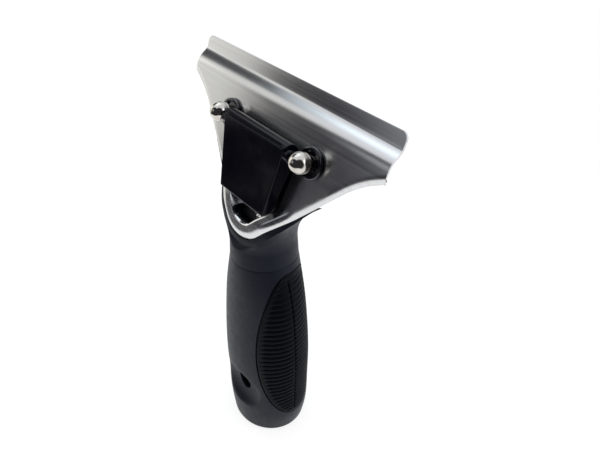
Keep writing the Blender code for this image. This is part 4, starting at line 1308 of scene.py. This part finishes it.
@dataclass
class Grip:
    """The rubber sleeve with its thumb recess, and the two ribbed panels let into it."""

    core: Core
    top_z: float = 0.0965
    half_width: float = 0.0212
    half_depth: float = 0.017
    base_round: float = 0.002
    top_round: float = 0.00012
    height_shares: Sequence[float] = (0.0, 0.124, 0.290, 0.466, 0.642, 0.829, 1.036)
    width_shares: Sequence[float] = (0.825, 0.945, 0.975, 1.0, 0.972, 0.878, 0.598)
    depth_shares: Sequence[float] = (0.945, 0.990, 1.0, 0.992, 0.942, 0.871, 0.803)
    recess_z: float = 0.0266
    recess_size: Point3 = (0.030, 0.007, 0.0114)
    recess_stand_off: float = 0.003
    recess_tilt: float = math.radians(8)
    recess_rounding: float = 0.0006
    panel_foot_z: float = 0.0139
    panel_top_margin: float = 0.0032
    panel_front: float = math.radians(57)
    panel_back: float = math.radians(68)
    panel_back_power: float = 4.0
    panel_depth: float = 0.002
    panel_gap: float = 0.00025
    rib_pitch: float = 0.0024
    rib_depth: float = 0.0008
    rib_power: float = 0.9
    rib_skew: float = 0.6
    rib_lean: float = 0.14
    rib_lean_fade: float = 0.010
    rib_border: float = 0.0026
    rib_rows: int = 8
    pocket_rows: int = 72
    end_shares: Sequence[float] = (0.15, 0.45)
    parting_shares: Sequence[float] = (0.012, 0.026, 0.045)
    panel_columns: int = 24
    back_columns: int = 12
    parting_depth: float = 0.0006
    parting_width: float = 0.00035
    edge_sink: float = 0.0004
    edge_width: float = 0.00045
    segments: int = 160

    def half_sizes(self, z: float) -> Point2:
        """Half width and half depth of the grip's section at a height."""
        place = z / self.top_z
        width = self.half_width * spline(self.height_shares, self.width_shares, place)
        return width, self.half_depth * spline(self.height_shares, self.depth_shares, place)

    def point(self, z: float, turn: float, sink: float = 0.0) -> Vector:
        """A point of the surface: turn runs from the front round by the right side."""
        width, depth = self.half_sizes(z)
        return Vector(((width - sink) * math.sin(turn), -(depth - sink) * math.cos(turn), z))

    def recessed(self, point: Vector) -> Vector:
        """Presses a point of the front into the thumb recess."""
        wide, deep, high = self.recess_size
        c, s = math.cos(self.recess_tilt), math.sin(self.recess_tilt)
        centre_y = -self.half_depth - self.recess_stand_off
        rise = point.z - self.recess_z
        square = c * c / deep**2 + s * s / high**2
        linear = 2 * rise * s * c * (1 / deep**2 - 1 / high**2)
        constant = rise * rise * (s * s / deep**2 + c * c / high**2) + (point.x / wide) ** 2 - 1
        inside = linear * linear - 4 * square * constant
        if inside <= 0 or point.y > 0:
            return point
        floor = centre_y + (math.sqrt(inside) - linear) / (2 * square)
        pressed = soft_max(point.y, floor, self.recess_rounding)
        return Vector((point.x, pressed, point.z))

    def ring(self, z: float, sink: float = 0.0) -> list[Vector]:
        """The surface's section at a height."""
        turns = [math.tau * i / self.segments for i in range(self.segments)]
        return [self.recessed(self.point(z, turn, sink)) for turn in turns]

    def sleeve(self, finish: GripRubber) -> None:
        """Makes the sleeve round the core."""
        rings: list[list[Vector]] = []
        round_steps, body_steps = 8, 130
        for i in range(round_steps + 1):
            turn = math.pi / 2 * i / round_steps
            sink = self.base_round * (1 - math.sin(turn))
            rings.append(self.ring(self.base_round * (1 - math.cos(turn)), sink))
        shoulder = self.top_z - self.top_round
        for i in range(1, body_steps + 1):
            rings.append(self.ring(blend(self.base_round, shoulder, i / body_steps)))
        top_steps = 4
        for i in range(1, top_steps + 1):
            turn = math.pi / 2 * i / top_steps
            sink = self.top_round * (1 - math.cos(turn))
            rings.append(self.ring(shoulder + self.top_round * math.sin(turn), sink))
        for radius, z in reversed(self.core.profile(GAP)[:3]):
            turns = [math.tau * i / self.segments for i in range(self.segments)]
            inner = [Vector((radius * math.sin(a), -radius * math.cos(a), z)) for a in turns]
            if z == self.core.neck_z:
                rings.append([Vector((point.x, point.y, self.top_z)) for point in inner])
            rings.append(inner)
        sleeve = Workpiece(from_rings("rubber_sleeve", rings, closed=True))
        for side in Side:
            sleeve.cut(self.panel(f"panel_pocket_{side.word}", side, self.panel_gap))
        sleeve.cut(self.core.button_cutter("sleeve_hole"))
        fit_out(sleeve.bake(), finish.build(), "grip_rubber", Body.HANDLE, "grip_sleeve")

    def span(self, grow: float) -> Point2:
        """The height of a panel's middle, and half of its length."""
        foot, top = self.panel_foot_z - grow, self.top_z - self.panel_top_margin + grow
        return (foot + top) / 2, (top - foot) / 2

    def rows(self, grow: float) -> list[float]:
        """Heights of a panel's rows, on its middle line."""
        middle, half = self.span(grow)
        if grow:
            turns = [math.pi * (i / self.pocket_rows - 1 / 2) for i in range(self.pocket_rows + 1)]
            return [middle + half * math.sin(turn) for turn in turns]
        step = self.rib_pitch / self.rib_rows
        count = int(half / step - 1 / 2)
        rows = [middle + step * i for i in range(-count, count + 1)]
        ends = [share * (half - step * count) for share in self.end_shares]
        low = [middle - half] + [middle - half + end for end in ends]
        high = [middle + half - end for end in reversed(ends)] + [middle + half]
        return low + rows + high

    def reach(self, share: float, back: bool, grow: float) -> float:
        """How far round the grip a panel reaches from its middle line: more above at the back."""
        power = self.panel_back_power if back and share > 0 else 2.0
        widest = (self.panel_back if back else self.panel_front) + grow / self.half_depth
        return widest * max(0.0, 1 - abs(share) ** power) ** (1 / power)

    def leaning(self, z: float, across: float, grow: float) -> float:
        """Height of a point of a panel's row, whose ribs climb towards the back, most at the foot."""
        if grow:
            return z
        middle, half = self.span(grow)
        fade = smooth((half - abs(z - middle)) / self.rib_lean_fade)
        lean = self.rib_lean * (1 - (z - middle) / half) * fade
        height = z
        tries = 4
        for _ in range(tries):
            reach = self.reach((height - middle) / half, across > 0, grow)
            height = z + lean * across * reach * self.half_depth
        return height

    def columns(self, fine: bool) -> list[float]:
        """Shares of the way across a panel, closer together at its sides, and at its parting line."""
        half = self.panel_columns if fine else self.back_columns
        sides = [math.sin(math.pi / 2 * k / half) for k in range(1, half + 1)]
        middle = list(self.parting_shares) if fine else []
        right = sorted(middle + sides)
        return [-share for share in reversed(right)] + [0.0] + right

    def rib_sink(self, z: float, margin: float, across: float) -> float:
        """How deep the ribbed surface lies: ribs that slope from above, and a plain border.

        Args:
            z: the height of the point's row.
            margin: how far the point lies inside the panel's side.
            across: how far it lies from the panel's middle line.

        Returns:
            The depth below the grip's own surface.
        """
        middle, half = self.span(0)
        ends = half - abs(z - middle)
        inside = smooth((min(margin, ends) - self.rib_border / 2) / self.rib_border)
        phase = (z - middle) / self.rib_pitch
        phase -= self.rib_skew * (1 - math.cos(math.tau * phase)) / math.tau
        crest = abs(math.cos(math.pi * phase)) ** self.rib_power
        parting = self.parting_depth * math.exp(-((across / self.parting_width) ** 2))
        edge = self.edge_sink * math.exp(-((margin / self.edge_width) ** 2))
        return inside * (self.rib_depth * (1 - crest) + parting) + edge

    def panel(self, name: str, side: Side, grow: float = 0.0) -> bpy.types.Object:
        """A patch of the grip's surface with a back; grow makes the cutter for its pocket."""
        middle, half = self.span(grow)
        points: list[Vector] = []
        faces: list[list[int]] = []
        strips: list[tuple[list[int], list[int]]] = []
        heights = self.rows(grow)
        for row, z in enumerate(heights):
            ends = row in (0, len(heights) - 1)
            pair: list[list[int]] = []
            for columns, inner in ((self.columns(not grow), False), (self.columns(False), True)):
                strip: list[int] = []
                for across in (0.0,) if ends else columns:
                    height = self.leaning(z, across, grow)
                    reach = self.reach((height - middle) / half, across > 0, grow)
                    sink = self.panel_depth + 2 * grow
                    if not inner:
                        margin = reach * (1 - abs(across)) * self.half_depth
                        wide = across * reach * self.half_depth
                        sink = -OVERRUN if grow else self.rib_sink(z, margin, wide)
                    strip.append(len(points))
                    points.append(self.point(height, side.value * (math.pi / 2 + across * reach), sink))
                pair.append(strip)
            strips.append((pair[0], pair[1]))
        for low, high in zip(strips, strips[1:]):
            for which in (0, 1):
                below, above = low[which], high[which]
                for k in range(max(len(below), len(above)) - 1):
                    quad = [
                        below[min(k, len(below) - 1)],
                        below[min(k + 1, len(below) - 1)],
                        above[min(k + 1, len(above) - 1)],
                        above[min(k, len(above) - 1)],
                    ]
                    faces.append(list(dict.fromkeys(quad)))
            for end in (0, -1):
                faces.append([low[0][end], high[0][end], high[1][end], low[1][end]])
        return make_object(name, points, faces)

    def build(self, sleeve: GripRubber, panel: GripRubber) -> None:
        """Makes the sleeve and its two panels."""
        self.sleeve(sleeve)
        rubber = panel.build()
        for side in Side:
            made = Workpiece(self.panel(f"ribbed_panel_{side.word}", side)).bake()
            fit_out(made, rubber, "panel_rubber", Body.HANDLE, f"grip_panel_{side.word}")


@dataclass
class NeckCollar:
    """The rubber collar that flares from the neck and wraps the plate's lower edge."""

    jaw: JawPlate
    core: Core
    grip: Grip
    neck_z: float = 0.104
    neck_half_width: float = 0.0126
    neck_half_depth: float = 0.0138
    lip_width: float = 0.0026
    lip_bevel: float = 0.0005
    lip_overlap: float = 0.0015
    lip_crown: float = 0.0003
    tip_v: float = 0.0277
    tip_turn: float = math.radians(96)
    tip_width_share: float = 0.05
    narrowing_v: float = 0.004
    edge_power: float = 2.2
    back_power: float = 1.5
    flare_share: float = 0.62
    floor_share: float = 0.55
    back_y: float = 0.0122
    back_z: float = 0.1125
    wall: float = 0.0024
    front_steps: int = 54
    back_steps: int = 24
    seam_gap: float = 0.00002
    seat_columns: int = 48
    seat_fineness: int = 2
    seat_margin: float = 0.008

    def places(self) -> list[tuple[float, bool]]:
        """Shares of the way round half the collar: along the plate's edge, then over the back."""
        front = [(i / self.front_steps, True) for i in range(self.front_steps + 1)]
        return front + [(i / self.back_steps, False) for i in range(1, self.back_steps + 1)]

    def rim(self, out: float, drop: float, back_inset: float) -> list[Vector]:
        """Right half of a loop round the collar's top.

        Args:
            out: how far outside the plate's border it runs.
            drop: how far it lies below the border's edge.
            back_inset: how far inside the collar's back it runs.

        Returns:
            The loop's points, from the middle of the front to the middle of the back.
        """
        border, fall = self.jaw.border_reach(self.jaw.bend_angle)
        loop: list[Vector] = []
        tip = Vector()
        for share, front in self.places():
            if front:
                edge = self.jaw.edge_at(blend(self.jaw.nose_v, self.tip_v, share**self.edge_power))
                past = (edge[1] - self.narrowing_v) / (self.tip_v - self.narrowing_v)
                width_share = blend(1.0, self.tip_width_share, smooth(past))
                u, v = self.jaw.moved_out(edge, border + GAP + out * width_share)
                height = self.jaw.height(edge[0], edge[1]) - fall - drop * width_share
                tip = self.jaw.head.point(u, v, height)
                loop.append(tip)
                continue
            back_y = self.back_y - back_inset
            turn = math.pi / 2 * share
            x, y = tip.x * math.cos(turn), blend(tip.y, back_y, math.sin(turn))
            fade = max(0.0, math.cos(turn)) ** self.back_power
            loop.append(Vector((x, y, blend(self.back_z, tip.z, fade))))
        return loop

    @staticmethod
    def both_halves(loop: Sequence[Vector]) -> list[Vector]:
        """A whole loop from its right half, which starts and ends in the middle plane."""
        return list(loop) + [Vector((-point.x, point.y, point.z)) for point in reversed(loop[1:-1])]

    def turns(self) -> list[float]:
        """Where the collar's points lie round the neck, matched to the points of its rim."""
        made: list[float] = []
        for share, front in self.places():
            start, end = (0.0, self.tip_turn) if front else (self.tip_turn, math.pi)
            made.append(blend(start, end, share))
        return made

    def solid(self) -> bpy.types.Object:
        """The collar before it is cut: rings up the neck and the flare, then over its lip."""
        turns = self.turns()
        lift = Vector((0, 0, self.seam_gap))
        seam = [self.grip.point(self.grip.top_z, turn) + lift for turn in turns]
        neck = [
            Vector((self.neck_half_width * math.sin(a), -self.neck_half_depth * math.cos(a), self.neck_z))
            for a in turns
        ]
        outer = self.rim(self.lip_width, self.lip_bevel, 0.0)
        inner = self.rim(-self.lip_overlap, 0.0, self.wall)
        seam_low = [self.grip.point(self.grip.top_z, a, self.grip.top_round) + lift for a in turns]
        seam_high = [point + Vector((0, 0, self.grip.top_round)) for point in seam]
        rings: list[list[Vector]] = [seam_low, seam_high]
        neck_steps, flare_steps = 8, 26
        for i in range(1, neck_steps):
            rings.append([a.lerp(b, i / neck_steps) for a, b in zip(seam_high, neck)])
        for i in range(flare_steps):
            t = i / flare_steps
            ring = []
            for low, high in zip(neck, outer):
                rise = high.z - low.z
                first = low + Vector((0, 0, rise / 2))
                second = low.lerp(high, self.flare_share)
                second.z = high.z - rise / 4
                ring.append(
                    low * (1 - t) ** 3
                    + first * (3 * t * (1 - t) ** 2)
                    + second * (3 * t * t * (1 - t))
                    + high * t**3
                )
            rings.append(ring)
        up = self.jaw.head.matrix().to_3x3() @ Vector((0, 0, 1))
        full_width = self.lip_width + self.lip_overlap
        lip_steps = 8
        for i in range(lip_steps + 1):
            t = i / lip_steps
            crown = up * (self.lip_crown * math.sin(math.pi * t) / full_width)
            rings.append([a.lerp(b, t) + crown * (b - a).length for a, b in zip(outer, inner)])
        whole = [self.both_halves(ring) for ring in rings]
        floor = self.jaw.head.point(0, self.core.shoulder_v, -self.wall - self.core.tongue_thickness)
        whole.append([point.lerp(floor, self.floor_share) for point in whole[-1]])
        whole.append([floor])
        return from_rings("rubber_collar", whole)

    def seat(self) -> bpy.types.Object:
        """The space that the plate takes: all that lies in front of its back."""
        clearance = (self.jaw.thickness + GAP) / math.cos(self.jaw.bend_angle)
        reach = self.tip_v + self.seat_margin
        edge = [point for point in self.jaw.edge(self.seat_fineness) if point[1] < reach]
        rows = [(u, v) for u, v, _ in edge]

        def floor_height(u: float, v: float) -> float:
            """Height of the seat under the plate."""
            return self.jaw.height(u, v) - clearance

        made = self.jaw.sheet("plate_seat", rows, self.seat_columns, floor_height, edge, GAP)
        shape = bmesh.new()
        shape.from_mesh(made.data)
        grown = bmesh.ops.extrude_face_region(shape, geom=shape.faces[:])
        raised = [item for item in grown["geom"] if isinstance(item, bmesh.types.BMVert)]
        bmesh.ops.translate(shape, vec=(0, 0, self.jaw.width), verts=raised)
        bmesh.ops.recalc_face_normals(shape, faces=shape.faces)
        shape.to_mesh(made.data)
        shape.free()
        made.data.transform(self.jaw.head.matrix())
        return made

    def build(self, finish: GripRubber) -> None:
        """Makes the collar and cuts the seats for the plate, the tongue and the core."""
        collar = Workpiece(self.solid())
        collar.cut(self.seat()).cut(self.core.tongue("collar_tongue", GAP))
        collar.cut(lathe("collar_bore", [(0.0, 0.0)] + self.core.profile(GAP), FINE_ROUND))
        fit_out(collar.bake(), finish.build(), "collar_rubber", Body.HANDLE, "neck_collar")


# The studio


@dataclass(frozen=True)
class SoftBox:
    """A rectangular lamp that looks at the head of the object."""

    name: str
    place: Point3
    size: Point2
    power: float
    color: Color = (1.0, 1.0, 1.0)
    target: Point3 = (0.0, 0.0, 0.13)

    def build(self) -> None:
        """Hangs the lamp."""
        lamp = bpy.data.lights.new(self.name, "AREA")
        lamp.shape = "RECTANGLE"
        lamp.size, lamp.size_y = self.size
        lamp.energy = self.power
        lamp.color = self.color
        made = bpy.data.objects.new(self.name, lamp)
        made.location = self.place
        aim = Vector(self.target) - Vector(self.place)
        made.rotation_euler = aim.to_track_quat("-Z", "Y").to_euler()
        bpy.context.scene.collection.objects.link(made)


@dataclass(frozen=True)
class RoomPatch:
    """A part of the room with a shade of its own, which only gloss shows."""

    direction: Point3
    inner: float
    outer: float
    color: Color

    def shade(
        self, tree: bpy.types.NodeTree, direction: bpy.types.NodeSocket, room: bpy.types.NodeSocket
    ) -> bpy.types.NodeSocket:
        """Shades the room towards the patch's middle.

        Args:
            tree: the world's nodes.
            direction: where a ray goes.
            room: the room's colour so far.

        Returns:
            The room's colour with this patch in it.
        """
        dot = tree.nodes.new("ShaderNodeVectorMath")
        dot.operation = "DOT_PRODUCT"
        dot.inputs[1].default_value = Vector(self.direction).normalized()
        tree.links.new(direction, dot.inputs[0])
        limits = tree.nodes.new("ShaderNodeMapRange")
        limits.interpolation_type = "SMOOTHSTEP"
        limits.inputs[1].default_value = math.cos(math.radians(self.outer))
        limits.inputs[2].default_value = math.cos(math.radians(self.inner))
        tree.links.new(dot.outputs["Value"], limits.inputs[0])
        mixed = tree.nodes.new("ShaderNodeMix")
        mixed.data_type = "RGBA"
        tree.links.new(limits.outputs[0], mixed.inputs[0])
        tree.links.new(room, mixed.inputs[6])
        mixed.inputs[7].default_value = (*self.color, 1.0)
        return mixed.outputs[2]


@dataclass
class Studio:
    """A pale floor, soft lamps and the camera at the photograph's angle."""

    camera_place: Point3 = (0.14924, -0.10175, 0.24171)
    camera_right: Point3 = (0.6199, 0.7846, 0.0114)
    camera_up: Point3 = (-0.4707, 0.3602, 0.8054)
    camera_back: Point3 = (0.6278, -0.5046, 0.5926)
    camera_reach: tuple[float, float] = (0.01, 20.0)
    lens: float = 34.45
    sensor: float = 36.0
    floor_half: float = 0.27
    floor_color: Color = (0.42, 0.42, 0.42)
    floor_glow: float = 0.76
    room_color: Color = (0.93, 0.95, 1.0)
    ambient: float = 0.7
    lamps: Sequence[SoftBox] = (
        SoftBox("lamp_above", (-0.25, 0.05, 0.62), (0.42, 0.34), 0.34, (0.76, 0.92, 1.0)),
        SoftBox("lamp_left", (-0.62, -0.22, 0.22), (0.22, 0.34), 0.12, (1.0, 0.985, 0.96)),
        SoftBox("lamp_right", (0.55, 0.25, 0.40), (0.35, 0.45), 0.6, (0.96, 0.98, 1.0)),
    )
    patches: Sequence[RoomPatch] = (
        RoomPatch((-0.95, -0.30, 0.0), 20.0, 50.0, (0.88, 0.87, 0.82)),
        RoomPatch((0.74, -0.60, 0.28), 40.0, 58.0, (0.03, 0.03, 0.034)),
        RoomPatch((-0.30, -0.75, -0.60), 34.0, 43.0, (0.03, 0.027, 0.032)),
        RoomPatch((-0.15, -0.97, 0.15), 40.0, 43.2, (0.032, 0.029, 0.036)),
        RoomPatch((-0.84, -0.02, 0.54), 15.5, 18.5, (0.04, 0.04, 0.045)),
        RoomPatch((-0.48, -0.84, 0.24), 6.0, 14.0, (0.42, 0.44, 0.46)),
    )

    def floor(self) -> None:
        """Lays a white floor that keeps the object's shadow."""
        half = self.floor_half
        corners = [(-half, -half, 0), (half, -half, 0), (half, half, 0), (-half, half, 0)]
        made = make_object("floor", corners, [[0, 1, 2, 3]])
        board = Board("floor_white")
        seen = board.add("ShaderNodeLightPath", {})
        rays = {0: seen.outputs["Is Camera Ray"], 1: seen.outputs["Is Glossy Ray"]}
        shown = board.add("ShaderNodeMath", rays, operation="MAXIMUM")
        level = board.add("ShaderNodeMath", {0: shown.outputs[0], 1: self.floor_glow}, operation="MULTIPLY")
        board.set(Base_Color=(*self.floor_color, 1.0), Roughness=0.9, Specular_IOR_Level=0.0)
        board.set(Emission_Color=(1.0, 1.0, 1.0, 1.0), Emission_Strength=level.outputs[0])
        made.data.materials.append(board.material)

    def world(self) -> None:
        """Sets a white surround, which gloss sees too, less the dark parts of the room."""
        world = bpy.data.worlds.new("surround")
        bpy.context.scene.world = world
        world.use_nodes = True
        tree = world.node_tree
        path = tree.nodes.new("ShaderNodeLightPath")
        direction = tree.nodes.new("ShaderNodeTexCoord").outputs["Generated"]
        room = tree.nodes.new("ShaderNodeRGB").outputs[0]
        room.default_value = (*self.room_color, 1.0)
        for patch in self.patches:
            room = patch.shade(tree, direction, room)
        soft = tree.nodes.new("ShaderNodeRGB").outputs[0]
        soft.default_value = (self.ambient, self.ambient, self.ambient, 1.0)
        white = tree.nodes.new("ShaderNodeRGB").outputs[0]
        white.default_value = (1.0, 1.0, 1.0, 1.0)
        for ray, color in (("Is Glossy Ray", room), ("Is Transmission Ray", white), ("Is Camera Ray", white)):
            choice = tree.nodes.new("ShaderNodeMix")
            choice.data_type = "RGBA"
            tree.links.new(path.outputs[ray], choice.inputs[0])
            tree.links.new(soft, choice.inputs[6])
            tree.links.new(color, choice.inputs[7])
            soft = choice.outputs[2]
        background = tree.nodes["Background"]
        tree.links.new(soft, background.inputs["Color"])
        background.inputs["Strength"].default_value = 1.0

    def camera(self) -> None:
        """Sets the camera where the photograph was taken from."""
        data = bpy.data.cameras.new("camera")
        data.lens = self.lens
        data.sensor_width = self.sensor
        data.clip_start, data.clip_end = self.camera_reach
        made = bpy.data.objects.new("camera", data)
        bpy.context.scene.collection.objects.link(made)
        turn = Matrix((self.camera_right, self.camera_up, self.camera_back)).transposed()
        made.matrix_world = Matrix.Translation(self.camera_place) @ turn.to_4x4()
        bpy.context.scene.camera = made

    def build(self) -> None:
        """Sets up the whole studio."""
        self.floor()
        self.world()
        for lamp in self.lamps:
            lamp.build()
        self.camera()


def main() -> None:
    """Builds the object on its frame, then the studio."""
    logging.basicConfig(level=logging.INFO, format="%(name)s: %(message)s")
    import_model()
    bpy.context.scene.view_settings.view_transform = "Standard"

    head = HeadFrame()
    jaw = JawPlate(head)
    clamp = ClampPlate(jaw)
    studs = StudSet(jaw, clamp)
    lever = ReleaseLever(studs)
    core = Core(jaw)
    grip = Grip(core)
    collar = NeckCollar(jaw, core, grip)

    jaw.build(BrushedSteel("brushed_jaw_steel"))
    clamp.build(BrushedSteel("slide_plate_steel", roughness=(0.24, 0.36)))
    small_steel = BrushedSteel(
        "fastener_steel", stretch=(900.0, 900.0, 900.0), roughness=(0.2, 0.3), round_axis=Axis.Z
    )
    bush_plastic = MouldedPlastic("bush_gloss", roughness=(0.1, 0.16), specular=0.9)
    studs.build(PolishedNickel("stud_nickel"), bush_plastic, small_steel)
    lever.build(MouldedPlastic("lever_gloss"))
    core.build(MouldedPlastic("core_matt", roughness=(0.4, 0.5)), small_steel)
    panel_rubber = GripRubber(
        "panel_rubber", color=(0.0018, 0.0020, 0.0036), dusty=(0.0028, 0.003, 0.005), sheen=0.0, specular=0.08
    )
    grip.build(GripRubber("sleeve_rubber"), panel_rubber)
    collar.build(GripRubber("collar_rubber"))
    Studio().build()


if __name__ == "__main__":
    main()
